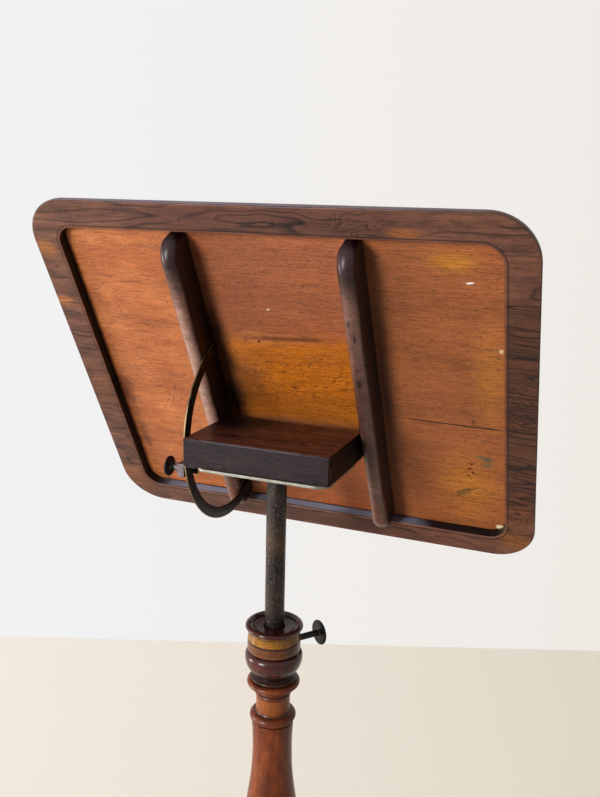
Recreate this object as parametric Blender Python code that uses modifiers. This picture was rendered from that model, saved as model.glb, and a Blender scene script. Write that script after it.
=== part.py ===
"""Tilting reading stand: a framed board on a sliding iron rod in a turned mahogany column.

Metres, +Z up. The origin is on the floor on the column's axis. +X is the hinge axis of the board,
-Y is the reader's side and +Y the back. Left is +X and right is -X, as seen from the back.
The top is drawn flat in its own frame (u across, v up the board, w towards the reader),
whose origin is the hinge axis, and an empty tilts it.
"""
import math

import bmesh
import bpy
from mathutils import Vector

# Fits
GAP = 0.0003
MERGE = 0.00002
OVERRUN = 0.004
STEPS = 28
FINE_STEPS = 12
MIDDLE_STEPS = 20
WIDE_STEPS = 40

# Hinge axis of the board, and the board's rest tilt
PIVOT_Y = -0.0515
PIVOT_Z = 0.980
TILT_DEG = 62.4

# Board, in its own frame
BOARD_W = 0.5292
BOARD_BOTTOM_V = -0.1576
BOARD_TOP_V = 0.2801
BOARD_CORNER_R = 0.048
PANEL_W = 0.0153
PANEL_T = 0.0076
RAIL_T = 0.0114
MOULD_R = 0.0174
SIDE_RAIL = 0.0324
BOTTOM_RAIL = 0.0286
TOP_RAIL = 0.0317
RECESS_CORNER_R = 0.020
TOP_LEFT_JOINT = 0.035
TOP_RIGHT_JOINT = 0.042
BOTTOM_JOINT = 0.040
LEFT_STILE_JOINT = 0.094
VENEER_T = 0.0008

# Book ledge on the reading side
LEDGE_W = 0.410
LEDGE_DEPTH = 0.022
LEDGE_T = 0.010
LEDGE_ABOVE_EDGE = 0.026
LEDGE_ROUND_R = 0.0045

# Battens
BATTEN_INNER_U = 0.0834
BATTEN_T = 0.018
BATTEN_H = 0.0364
BATTEN_END_R = 0.024
BATTEN_LIP_GAP = 0.0008
BATTEN_SCREW_BELOW = 0.085
BATTEN_SCREW_ABOVE = 0.190

# Pivot block
BLOCK_HALF_L = 0.0808
BLOCK_FRONT_Y = 0.0620
BLOCK_BACK_Y = -0.0597
BLOCK_TOP_Z = 0.0124
BLOCK_T = 0.0306
BLOCK_ARRIS_R = 0.0016

# Pivot pins and washers
PIN_R = 0.0030
PIN_IN_BATTEN = 0.013
PIN_IN_BLOCK = 0.034
WASHER_R = 0.0085
WASHER_T = 0.0016

# Mounting plate
PLATE_T = 0.0032
PLATE_LEFT_X = 0.0695
PLATE_RIGHT_X = -0.0790
PLATE_BACK_Y = -0.0400
PLATE_CORNER_R = 0.015
PLATE_SCREW_INSET = 0.014

# Tilt arc
ARC_OUTER_R = 0.1094
ARC_BAND = 0.0130
ARC_T = 0.0018
ARC_HALF_SWEEP_DEG = 95.0
ARC_SCREW_DEG = 87.5
ARC_STEPS = 26

# Clamp, in the head's frame, whose height zero is the hinge axis
CLAMP_INNER_X = 0.0704
CLAMP_OUTER_X = 0.0920
CLAMP_BACK_Y = 0.0344
CLAMP_FRONT_Y = 0.0553
CLAMP_WEB_T = 0.0035
CLAMP_H = 0.0150
CLAMP_FOOT_T = 0.0035
CLAMP_SLOT_PLAY = 0.0006
BOSS_R = 0.0045
BOSS_L = 0.0060

# Thumbscrew of the tilt
TILT_SCREW_Y = 0.0468
TILT_SCREW_Z = -0.0255
TILT_SCREW_R = 0.0027
TILT_SCREW_NECK_R = 0.0022
TILT_SCREW_NECK_L = 0.0060
TILT_DISC_R = 0.0110
TILT_DISC_T = 0.0028

# Thumbscrew of the column
COLUMN_SCREW_BELOW_RIM = 0.0275
COLUMN_SCREW_DEG = -128.3
COLUMN_SCREW_R = 0.0037
COLUMN_SCREW_REACH = 0.0585
COLUMN_DISC_R = 0.0145
COLUMN_DISC_T = 0.0032
NUT_BUSH_R = 0.0065

# Rod, its spigot and the nut on it
ROD_R = 0.0110
ROD_L = 0.460
SPIGOT_R = 0.0060
SWIVEL_NUT_R = 0.0105
SWIVEL_NUT_T = 0.0080
SPIGOT_STANDOUT = 0.0012
POCKET_PLAY = 0.0020
ROD_CHAMFER = 0.0015

# Small screws
BATTEN_SCREW_HEAD_R = 0.0042
BATTEN_SCREW_R = 0.0020
BATTEN_SCREW_L = 0.0250
PLATE_SCREW_HEAD_R = 0.0044
PLATE_SCREW_R = 0.0021
PLATE_SCREW_L = 0.0180
CLAMP_SCREW_HEAD_R = 0.0034
CLAMP_SCREW_R = 0.0017
CLAMP_SCREW_L = 0.0200
ARC_SCREW_HEAD_R = 0.0036
ARC_SCREW_R = 0.0016
ARC_SCREW_L = 0.0120
SLOT_W = 0.0009
SLOT_DEPTH = 0.0010

# Collar on the column's top
RIM_Z = 0.7705
RIM_R = 0.0327
RIM_H = 0.0060
DISH_DEPTH = 0.0040
BAND_R = 0.0302
BAND_DROP = 0.0310
BAND_GROOVE = 0.0006
TORUS_R = 0.0328
TORUS_DROP = 0.0079
TORUS_H = 0.0140
COLLAR_FOOT_R = 0.0224
COLLAR_FOOT_DROP = 0.0231
COLLAR_UNDER_SHARES = ((0.998, 0.12), (0.985, 0.25), (0.963, 0.38), (0.930, 0.50), (0.883, 0.63), (0.823, 0.75),
                       (0.765, 0.85), (0.720, 0.93))
BORE_PLAY = 0.0006
BORE_MOUTH_PLAY = 0.0016
SOCKET_R = 0.0180
TENON_L = 0.0190

# Turned column, from the collar down
FLANGE_R = 0.0303
FLANGE_DROP = 0.0103
FLANGE_H = 0.0120
FLANGE_STEP_R = 0.0262
NECK_R = 0.0195
NECK_BEAD_R = 0.0205
NECK_BEAD_DROP = 0.0152
NECK_BEAD_H = 0.0040
RING_R = 0.0267
RING_DROP = 0.0278
RING_H = 0.0110
VASE_DROP = 0.0082
VASE_FOOT_Z = 0.3050
VASE_R = 0.0370
LOWER_RING_R = 0.0285
LOWER_RING_Z = 0.2960
LOWER_RING_H = 0.0120
STEM_TOP_Z = 0.2850
STEM_FOOT_Z = 0.1050
STEM_R = 0.0360
FOOT_RING_R = 0.0450
FOOT_RING_H = 0.0200
ROD_BORE_BOTTOM_Z = 0.3030
COLUMN_TENON_R = 0.0160
BOLT_REACH_Z = 0.1200

# Shares of a swelling's radius against shares of the way down it
VASE_SHARES = ((0.65, 0.0), (0.627, 0.05), (0.622, 0.11), (0.66, 0.2), (0.787, 0.304),
               (0.91, 0.42), (0.99, 0.53), (0.99, 0.62), (0.91, 0.74), (0.76, 0.87), (0.62, 1.0))
STEM_SHARES = ((0.55, 0.0), (0.6, 0.18), (0.76, 0.4), (0.95, 0.66), (1.0, 0.82), (0.93, 1.0))

# Base
PLATFORM_R = 0.205
PLATFORM_T = 0.028
PLATFORM_STEP = 0.046
PLATFORM_STEP_H = 0.0030
PLATFORM_EDGE_H = 0.0080
PLATFORM_COVE = 0.0100
FOOT_COUNT = 3
FOOT_INSET = 0.055
FOOT_H = 0.045
FOOT_R = 0.035
FOOT_PAD_R = 0.020
DOWEL_R = 0.0090
DOWEL_L = 0.0160
FOOT_SHARES = ((0.7, 1.0), (0.72, 0.9), (0.62, 0.86), (0.86, 0.72), (0.98, 0.55), (1.0, 0.42),
               (0.93, 0.22), (0.78, 0.08))
BOLT_R = 0.0040
BOLT_HEAD_R = 0.0090
BOLT_HEAD_H = 0.0038
BASE_WASHER_R = 0.0210
BASE_WASHER_T = 0.0028

# Colours, roughness and metallic value
FINISHES = {
    "rosewood": ((0.085, 0.036, 0.022, 1.0), 0.36, 0.0),
    "mahogany_panel": ((0.45, 0.15, 0.045, 1.0), 0.38, 0.0),
    "mahogany_turned": ((0.27, 0.075, 0.026, 1.0), 0.28, 0.0),
    "worn_batten": ((0.17, 0.085, 0.066, 1.0), 0.42, 0.0),
    "iron": ((0.022, 0.021, 0.023, 1.0), 0.48, 1.0),
    "worn_iron": ((0.08, 0.06, 0.045, 1.0), 0.42, 1.0),
    "pale_steel": ((0.58, 0.57, 0.50, 1.0), 0.40, 1.0),
}

FRAME_BACK_W = PANEL_W - RAIL_T
FACE_W = PANEL_W + PANEL_T
RECESS_TOP_V = BOARD_TOP_V - TOP_RAIL
RECESS_BOTTOM_V = BOARD_BOTTOM_V + BOTTOM_RAIL
BLOCK_BOTTOM_Z = BLOCK_TOP_Z - BLOCK_T
PLATE_BOTTOM_Z = BLOCK_BOTTOM_Z - GAP - PLATE_T
SHOULDER_Z = PIVOT_Z + PLATE_BOTTOM_Z - GAP
BATTEN_MID_U = BATTEN_INNER_U + BATTEN_T / 2
CLAMP_TOP_Z = BLOCK_BOTTOM_Z - GAP
PLATFORM_TOP_Z = FOOT_H + GAP + PLATFORM_T
COLUMN_SCREW_Z = RIM_Z - COLUMN_SCREW_BELOW_RIM
BAND_BOTTOM_Z = RIM_Z - BAND_DROP
TORUS_Z = BAND_BOTTOM_Z - TORUS_DROP
COLLAR_FOOT_Z = TORUS_Z - COLLAR_FOOT_DROP
FLANGE_Z = COLLAR_FOOT_Z - FLANGE_DROP
NECK_BEAD_Z = FLANGE_Z - NECK_BEAD_DROP
RING_Z = NECK_BEAD_Z - RING_DROP
VASE_TOP_Z = RING_Z - VASE_DROP
FOOT_CIRCLE_R = PLATFORM_R - FOOT_INSET
SIDEWAYS = (math.pi / 2, 0, math.pi / 2)
ENDWAYS = (math.pi / 2, 0, 0)

TAU = math.tau
parts = None
cutters = None


def remove_all():
    """Empty the scene and make the two collections."""
    global parts, cutters
    for obj in list(bpy.data.objects):
        bpy.data.objects.remove(obj, do_unlink=True)
    parts = bpy.data.collections.new("reading_stand")
    cutters = bpy.data.collections.new("cutters")
    for group in (parts, cutters):
        bpy.context.scene.collection.children.link(group)


def finish(name):
    """Return the named material, made once."""
    found = bpy.data.materials.get(name)
    if found:
        return found
    colour, roughness, metallic = FINISHES[name]
    made = bpy.data.materials.new(name)
    made.use_nodes = True
    shader = made.node_tree.nodes["Principled BSDF"]
    shader.inputs["Base Color"].default_value = colour
    shader.inputs["Roughness"].default_value = roughness
    shader.inputs["Metallic"].default_value = metallic
    made.diffuse_color = colour
    return made


def empty(name, place=(0, 0, 0), turn=(0, 0, 0), parent=None):
    """Add an empty that carries one moving body."""
    made = bpy.data.objects.new(name, None)
    parts.objects.link(made)
    made.parent = parent
    made.location = place
    made.rotation_euler = turn
    return made


def new_object(name, mesh, parent=None, place=(0, 0, 0), turn=(0, 0, 0)):
    """Wrap a mesh in an object under its body's empty."""
    made = bpy.data.objects.new(name, mesh)
    parts.objects.link(made)
    made.parent = parent
    made.location = place
    made.rotation_euler = turn
    return made


def dress(obj, material):
    """Give a piece its material and smooth its round faces."""
    own = finish(material).copy()
    own.name = f"{obj.name}_{material}"
    obj.data.materials.clear()
    obj.data.materials.append(own)
    obj.data.shade_smooth()
    obj.data.set_sharp_from_angle(angle=math.radians(35))
    return obj


def box(name, low, high, parent=None):
    """A box between two corners."""
    mesh = bpy.data.meshes.new(name)
    shape = bmesh.new()
    bmesh.ops.create_cube(shape, size=1)
    size = Vector(high) - Vector(low)
    bmesh.ops.scale(shape, vec=size, verts=shape.verts)
    shape.to_mesh(mesh)
    shape.free()
    return new_object(name, mesh, parent, (Vector(low) + Vector(high)) / 2)


def cylinder(name, radius, length, parent=None, place=(0, 0, 0), turn=(0, 0, 0), steps=FINE_STEPS):
    """A cylinder whose end is at its origin and which runs along its own +Z."""
    mesh = bpy.data.meshes.new(name)
    shape = bmesh.new()
    bmesh.ops.create_cone(shape, cap_ends=True, segments=steps, radius1=radius, radius2=radius, depth=length)
    bmesh.ops.translate(shape, vec=(0, 0, length / 2), verts=shape.verts)
    shape.to_mesh(mesh)
    shape.free()
    return new_object(name, mesh, parent, place, turn)


def turned(name, profile, parent=None, place=(0, 0, 0), turn=(0, 0, 0), steps=STEPS):
    """A turned piece from its outline, given as (radius, height) from the top down."""
    mesh = bpy.data.meshes.new(name)
    shape = bmesh.new()
    points = [shape.verts.new((radius, 0, height)) for radius, height in profile]
    for first, second in zip(points, points[1:]):
        shape.edges.new((first, second))
    shape.to_mesh(mesh)
    shape.free()
    made = new_object(name, mesh, parent, place, turn)
    spin = made.modifiers.new("turning", "SCREW")
    spin.steps = steps
    spin.render_steps = steps
    spin.use_merge_vertices = True
    spin.merge_threshold = MERGE
    return made


def slab(name, outline, low, high, parent=None, turn=(0, 0, 0), place=(0, 0, 0)):
    """A flat outline given as (a, b) points, made solid between two heights of its own Z."""
    flat = bpy.data.curves.new(name, "CURVE")
    flat.dimensions = "2D"
    flat.fill_mode = "BOTH"
    flat.extrude = (high - low) / 2
    line = flat.splines.new("POLY")
    line.points.add(len(outline) - 1)
    for point, (a, b) in zip(line.points, outline):
        point.co = (a, b, 0, 1)
    line.use_cyclic_u = True
    sketch = bpy.data.objects.new(name + "_sketch", flat)
    parts.objects.link(sketch)
    bpy.context.view_layer.update()
    evaluated = sketch.evaluated_get(bpy.context.evaluated_depsgraph_get())
    mesh = bpy.data.meshes.new_from_object(evaluated)
    bpy.data.objects.remove(sketch)
    shape = bmesh.new()
    shape.from_mesh(mesh)
    bmesh.ops.translate(shape, vec=(0, 0, (high + low) / 2), verts=shape.verts)
    bmesh.ops.remove_doubles(shape, verts=shape.verts, dist=MERGE)
    bmesh.ops.dissolve_limit(shape, angle_limit=math.radians(1), verts=shape.verts, edges=shape.edges)
    bmesh.ops.recalc_face_normals(shape, faces=shape.faces)
    shape.to_mesh(mesh)
    shape.free()
    return new_object(name, mesh, parent, place, turn)


def boolean(obj, other, operation):
    """Cut, join or intersect a piece with another solid, which becomes a hidden cutter."""
    step = obj.modifiers.new(other.name, "BOOLEAN")
    step.operation = operation
    step.object = other
    if other.name not in cutters.objects:
        cutters.objects.link(other)
        parts.objects.unlink(other)
    other.hide_render = True
    other.display_type = "WIRE"
    return obj


def cut(obj, *others):
    """Take each of the other solids away from a piece."""
    for other in others:
        boolean(obj, other, "DIFFERENCE")
    return obj


def arc(centre_a, centre_b, radius_a, radius_b, start_deg, end_deg, steps):
    """Points along an elliptical arc, ends included."""
    points = []
    for step in range(steps + 1):
        angle = math.radians(start_deg + (end_deg - start_deg) * step / steps)
        points.append((centre_a + radius_a * math.cos(angle), centre_b + radius_b * math.sin(angle)))
    return points


def rounded(left, bottom, right, top, radius, steps=6):
    """Outline of a rectangle with round corners, anticlockwise."""
    corners = ((right - radius, bottom + radius, -90), (right - radius, top - radius, 0),
               (left + radius, top - radius, 90), (left + radius, bottom + radius, 180))
    outline = []
    for centre_a, centre_b, start in corners:
        outline += arc(centre_a, centre_b, radius, radius, start, start + 90, steps)
    return outline


def bead(radius, middle, height, depth, steps=6):
    """A half-round moulding on a turned outline, from the top down."""
    return arc(radius - depth, middle, depth, height / 2, 90, -90, steps)


def swelling(shares, radius, top, bottom):
    """Points of a swelling outline from shares of its radius and of the way down."""
    return [(radius * wide, top + (bottom - top) * down) for wide, down in shares]


def screw_outline(head_r, shank_r, length, play=0.0, above=0.0):
    """Outline of a countersunk screw from its head down, grown by a play for its hole."""
    head_h = head_r - shank_r
    outline = [(0, above)]
    if above:
        outline.append((head_r + play, above))
    outline += [(head_r + play, 0), (shank_r + play, -head_h - play), (shank_r + play, head_h - length),
                (0, -length - play)]
    return outline


def screw(name, material, head_r, shank_r, length, parent, place, turn=(0, 0, 0)):
    """A countersunk wood screw with a slotted head. Returns the screw and the cutter of its hole."""
    made = turned(name, screw_outline(head_r, shank_r, length), parent, place, turn, steps=FINE_STEPS)
    slot = box(name + "_slot", (-head_r - OVERRUN, -SLOT_W / 2, -SLOT_DEPTH),
               (head_r + OVERRUN, SLOT_W / 2, OVERRUN))
    slot.parent = made
    cut(made, slot)
    dress(made, material)
    hole = turned(name + "_hole", screw_outline(head_r, shank_r, length, GAP, OVERRUN), parent, place, turn,
                  steps=FINE_STEPS)
    return made, hole


def board_blank(name, top):
    """The whole board with its moulded edge on the reading side, before it is split into pieces."""
    half = BOARD_W / 2
    outline = rounded(-half, BOARD_BOTTOM_V, half, BOARD_TOP_V, BOARD_CORNER_R)
    blank = slab(name, outline, FRAME_BACK_W, FACE_W, top)
    shape = bmesh.new()
    shape.from_mesh(blank.data)
    reading_edge = [edge for edge in shape.edges
                    if all(abs(vert.co.z - FACE_W) < MERGE for vert in edge.verts) and len(edge.link_faces) == 2
                    and abs(edge.link_faces[0].normal.z - edge.link_faces[1].normal.z) > 0.5]
    bmesh.ops.bevel(shape, geom=reading_edge, offset=MOULD_R, segments=4, profile=0.5, affect="EDGES",
                    clamp_overlap=True)
    shape.to_mesh(blank.data)
    shape.free()
    return blank


def recess(name, top):
    """Cutter of the frame's opening."""
    half = BOARD_W / 2 - SIDE_RAIL
    outline = rounded(-half, RECESS_BOTTOM_V, half, RECESS_TOP_V, RECESS_CORNER_R)
    return slab(name, outline, FRAME_BACK_W - OVERRUN, FACE_W, top)


def rail(name, outline, top):
    """One rail of the frame: the part of the blank inside an outline and behind the panel."""
    made = board_blank(name, top)
    region = slab(name + "_region", outline, FRAME_BACK_W - OVERRUN, PANEL_W - GAP, top)
    boolean(made, region, "INTERSECT")
    cut(made, recess(name + "_recess", top))
    return dress(made, "rosewood")


def frame_rails(top):
    """Top and bottom rails with their corners, and the stiles butted between them."""
    far = BOARD_W / 2 + OVERRUN
    near = BOARD_W / 2 - SIDE_RAIL - RECESS_CORNER_R
    left_top = BOARD_TOP_V - TOP_LEFT_JOINT
    right_top = BOARD_TOP_V - TOP_RIGHT_JOINT
    bottom = BOARD_BOTTOM_V + BOTTOM_JOINT
    stile_joint = BOARD_TOP_V - LEFT_STILE_JOINT
    above = BOARD_TOP_V + OVERRUN
    below = BOARD_BOTTOM_V - OVERRUN
    rail("rail_top", [(-far, right_top), (0, right_top), (0, left_top), (far, left_top), (far, above),
                      (-far, above)], top)
    rail("rail_bottom", [(-far, below), (far, below), (far, bottom), (-far, bottom)], top)
    for name, side, start, end in (("stile_left_upper", 1, stile_joint, left_top),
                                   ("stile_left", 1, bottom, stile_joint),
                                   ("stile_right", -1, bottom, right_top)):
        low = start + GAP
        high = end - (0 if end == stile_joint else GAP)
        rail(name, [(side * near, low), (side * far, low), (side * far, high), (side * near, high)][::side], top)


def panel_and_veneer(top, holes):
    """The mahogany panel with the moulded edge, and the leaf let into its reading face."""
    panel = board_blank("panel", top)
    half = BOARD_W / 2
    behind = box("panel_behind", (-half - OVERRUN, BOARD_BOTTOM_V - OVERRUN, FRAME_BACK_W - OVERRUN),
                 (half + OVERRUN, BOARD_TOP_V + OVERRUN, PANEL_W), top)
    inset = MOULD_R + GAP
    sunk = FACE_W - VENEER_T - GAP
    pocket = slab("veneer_pocket",
                  rounded(inset - half, BOARD_BOTTOM_V + inset, half - inset, BOARD_TOP_V - inset,
                          BOARD_CORNER_R - inset), sunk, FACE_W + OVERRUN, top)
    cut(panel, behind, pocket, *holes)
    dress(panel, "mahogany_panel")
    edge = inset + GAP
    leaf = slab("face_veneer",
                rounded(edge - half, BOARD_BOTTOM_V + edge, half - edge, BOARD_TOP_V - edge,
                        BOARD_CORNER_R - edge), FACE_W - VENEER_T, FACE_W, top)
    dress(leaf, "mahogany_panel")


def book_ledge(top):
    """Moulded strip that books stand on."""
    low = BOARD_BOTTOM_V + LEDGE_ABOVE_EDGE
    high = low + LEDGE_T
    near = FACE_W + GAP
    far = near + LEDGE_DEPTH
    outline = [(low, near), (high, near)]
    outline += arc(high - LEDGE_ROUND_R, far - LEDGE_ROUND_R, LEDGE_ROUND_R, LEDGE_ROUND_R, 0, 90, 4)
    outline += arc(low + LEDGE_ROUND_R, far - LEDGE_ROUND_R, LEDGE_ROUND_R, LEDGE_ROUND_R, 90, 180, 4)
    ledge = slab("book_ledge", outline, -LEDGE_W / 2, LEDGE_W / 2, top, SIDEWAYS)
    dress(ledge, "rosewood")


def batten(name, side, top, holes):
    """A round-nosed rail on the panel's back, from lip to lip of the recess."""
    seat = PANEL_W - GAP
    nose = PANEL_W - BATTEN_H
    low = RECESS_BOTTOM_V + BATTEN_LIP_GAP
    high = RECESS_TOP_V - BATTEN_LIP_GAP
    inner = BATTEN_INNER_U
    outer = inner + BATTEN_T
    side_view = [(high, seat), (low, seat)]
    side_view += arc(low + BATTEN_END_R, nose + BATTEN_END_R, BATTEN_END_R, BATTEN_END_R, 180, 270, 6)
    side_view += arc(high - BATTEN_END_R, nose + BATTEN_END_R, BATTEN_END_R, BATTEN_END_R, 270, 360, 6)
    made = slab(name, side_view, min(side * inner, side * outer), max(side * inner, side * outer), top, SIDEWAYS)
    round_r = BATTEN_T / 2
    middle = side * BATTEN_MID_U
    end_view = [(middle - round_r - GAP, seat + OVERRUN)]
    end_view += arc(middle, nose + round_r, round_r + GAP, round_r, 180, 360, 8)
    end_view += [(middle + round_r + GAP, seat + OVERRUN)]
    nosing = slab(name + "_nosing", end_view, -high - OVERRUN, -low + OVERRUN, top, ENDWAYS)
    plan = slab(name + "_plan", rounded(middle - round_r - GAP, low, middle + round_r + GAP, high, round_r),
                nose - OVERRUN, seat + OVERRUN, top)
    boolean(made, nosing, "INTERSECT")
    boolean(made, plan, "INTERSECT")
    cut(made, *holes)
    return dress(made, "worn_batten")


def pivot_block(head, holes):
    """Thick board between the battens, with a round back edge."""
    radius = BLOCK_T / 2
    middle = BLOCK_TOP_Z - radius
    front = BLOCK_FRONT_Y - BLOCK_ARRIS_R
    outline = arc(front, BLOCK_BOTTOM_Z + BLOCK_ARRIS_R, BLOCK_ARRIS_R, BLOCK_ARRIS_R, -90, 0, 3)
    outline += arc(front, BLOCK_TOP_Z - BLOCK_ARRIS_R, BLOCK_ARRIS_R, BLOCK_ARRIS_R, 0, 90, 3)
    outline += arc(BLOCK_BACK_Y + radius, middle, radius, radius, 90, 270, 12)
    block = slab("pivot_block", outline, -BLOCK_HALF_L, BLOCK_HALF_L, head, SIDEWAYS)
    cut(block, *holes)
    dress(block, "rosewood")


def pins_and_washers(top):
    """Pivot pins, their washers and the cutters of their bores. Returns bores by body and side."""
    bores = {}
    for name, side in (("left", 1), ("right", -1)):
        turn = (0, side * math.pi / 2, 0)
        start = BLOCK_HALF_L - PIN_IN_BLOCK
        end = BATTEN_INNER_U + PIN_IN_BATTEN
        pin = cylinder(f"pivot_pin_{name}", PIN_R, end - start, top, (side * start, 0, 0), turn)
        dress(pin, "iron")
        washer = cylinder(f"pivot_washer_{name}", WASHER_R, WASHER_T, top,
                          (side * (BLOCK_HALF_L + 2 * GAP), 0, 0), turn)
        bore = cylinder(f"pivot_washer_{name}_bore", PIN_R + GAP, WASHER_T + OVERRUN + OVERRUN, top,
                        (side * (BLOCK_HALF_L - OVERRUN), 0, 0), turn)
        cut(washer, bore)
        dress(washer, "iron")
        bores[name] = cylinder(f"pivot_pin_{name}_bore", PIN_R + GAP, end - start + GAP + GAP, top,
                               (side * (start - GAP), 0, 0), turn)
    return bores


def tilt_arc(top, holes):
    """Flat half ring about the hinge axis, on the left batten's inner side."""
    outer = arc(0, 0, ARC_OUTER_R, ARC_OUTER_R, -90 - ARC_HALF_SWEEP_DEG, -90 + ARC_HALF_SWEEP_DEG, ARC_STEPS)
    inner_r = ARC_OUTER_R - ARC_BAND
    inner = arc(0, 0, inner_r, inner_r, -90 + ARC_HALF_SWEEP_DEG, -90 - ARC_HALF_SWEEP_DEG, ARC_STEPS)
    high = BATTEN_INNER_U - GAP
    band = slab("tilt_arc", outer + inner, high - ARC_T, high, top, SIDEWAYS)
    cut(band, *holes)
    dress(band, "iron")


def mount_plate(head, holes):
    """Steel plate under the block, with round corners."""
    outline = rounded(PLATE_RIGHT_X, PLATE_BACK_Y, PLATE_LEFT_X, BLOCK_FRONT_Y, PLATE_CORNER_R)
    plate = slab("mount_plate", outline, PLATE_BOTTOM_Z, PLATE_BOTTOM_Z + PLATE_T, head)
    bore = cylinder("mount_plate_bore", SPIGOT_R + GAP, PLATE_T + OVERRUN + OVERRUN, head,
                    (0, 0, PLATE_BOTTOM_Z - OVERRUN), steps=STEPS)
    cut(plate, bore, *holes)
    dress(plate, "pale_steel")


def arc_clamp(head, holes):
    """Iron clamp under the block's corner: a foot, a web behind the arc and a cheek with a boss."""
    slot_low = BATTEN_INNER_U - GAP - ARC_T - CLAMP_SLOT_PLAY
    slot_high = BATTEN_INNER_U - GAP + CLAMP_SLOT_PLAY
    web = CLAMP_BACK_Y + CLAMP_WEB_T
    outline = [(CLAMP_INNER_X, CLAMP_BACK_Y), (CLAMP_OUTER_X, CLAMP_BACK_Y), (CLAMP_OUTER_X, CLAMP_FRONT_Y),
               (slot_high, CLAMP_FRONT_Y), (slot_high, web), (slot_low, web), (slot_low, CLAMP_FRONT_Y),
               (CLAMP_INNER_X, CLAMP_FRONT_Y)]
    clamp = slab("arc_clamp", outline, CLAMP_TOP_Z - CLAMP_H, CLAMP_TOP_Z, head)
    post = slot_low - CLAMP_WEB_T
    inside = CLAMP_INNER_X - OVERRUN
    below_foot = [(inside, CLAMP_BACK_Y - OVERRUN), (post, CLAMP_BACK_Y - OVERRUN), (post, web), (slot_low, web),
                  (slot_low, CLAMP_FRONT_Y + OVERRUN), (inside, CLAMP_FRONT_Y + OVERRUN)]
    relief = slab("arc_clamp_relief", below_foot, CLAMP_TOP_Z - CLAMP_H - OVERRUN, CLAMP_TOP_Z - CLAMP_FOOT_T,
                  head)
    cut(clamp, relief)
    turn = (0, math.pi / 2, 0)
    half_cheek = (CLAMP_OUTER_X - slot_high) / 2
    boss = cylinder("arc_clamp_boss", BOSS_R, BOSS_L + half_cheek, head,
                    (CLAMP_OUTER_X - half_cheek, TILT_SCREW_Y, TILT_SCREW_Z), turn)
    boolean(clamp, boss, "UNION")
    bore = cylinder("arc_clamp_bore", TILT_SCREW_R + GAP, CLAMP_OUTER_X + BOSS_L + OVERRUN - slot_low, head,
                    (slot_low + CLAMP_SLOT_PLAY, TILT_SCREW_Y, TILT_SCREW_Z), turn)
    cut(clamp, bore, *holes)
    dress(clamp, "pale_steel")


def tilt_screw(head):
    """Disc-headed thumbscrew that presses on the arc."""
    tip = BATTEN_INNER_U
    shank = CLAMP_OUTER_X + BOSS_L + GAP - tip
    neck_end = shank + TILT_SCREW_NECK_L
    top = neck_end + TILT_DISC_T
    profile = [(0, top), (TILT_SCREW_NECK_R, top)]
    profile += bead(TILT_DISC_R, neck_end + TILT_DISC_T / 2, TILT_DISC_T, TILT_DISC_T / 2, 4)
    profile += [(TILT_SCREW_NECK_R, neck_end), (TILT_SCREW_NECK_R, shank + GAP), (TILT_SCREW_R, shank),
                (TILT_SCREW_R, 0), (0, 0)]
    screw_piece = turned("tilt_screw", profile, head, (tip, TILT_SCREW_Y, TILT_SCREW_Z), (0, math.pi / 2, 0),
                         steps=MIDDLE_STEPS)
    dress(screw_piece, "iron")


def rod_and_nut(rod):
    """Sliding rod with a shoulder and a spigot, and the nut that holds the head on it."""
    shoulder = ROD_L
    above_plate = shoulder + GAP + PLATE_T
    spigot_top = above_plate + GAP + SWIVEL_NUT_T + SPIGOT_STANDOUT
    profile = [(0, spigot_top), (SPIGOT_R, spigot_top), (SPIGOT_R, shoulder), (ROD_R, shoulder),
               (ROD_R, ROD_CHAMFER), (ROD_R - ROD_CHAMFER, 0), (0, 0)]
    bar = turned("rod", profile, rod)
    dress(bar, "worn_iron")
    nut = cylinder("swivel_nut", SWIVEL_NUT_R, SWIVEL_NUT_T, rod, (0, 0, above_plate + GAP), steps=6)
    bore = cylinder("swivel_nut_bore", SPIGOT_R + GAP, SWIVEL_NUT_T + OVERRUN + OVERRUN, rod,
                    (0, 0, above_plate - OVERRUN), steps=STEPS)
    cut(nut, bore)
    dress(nut, "iron")


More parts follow.
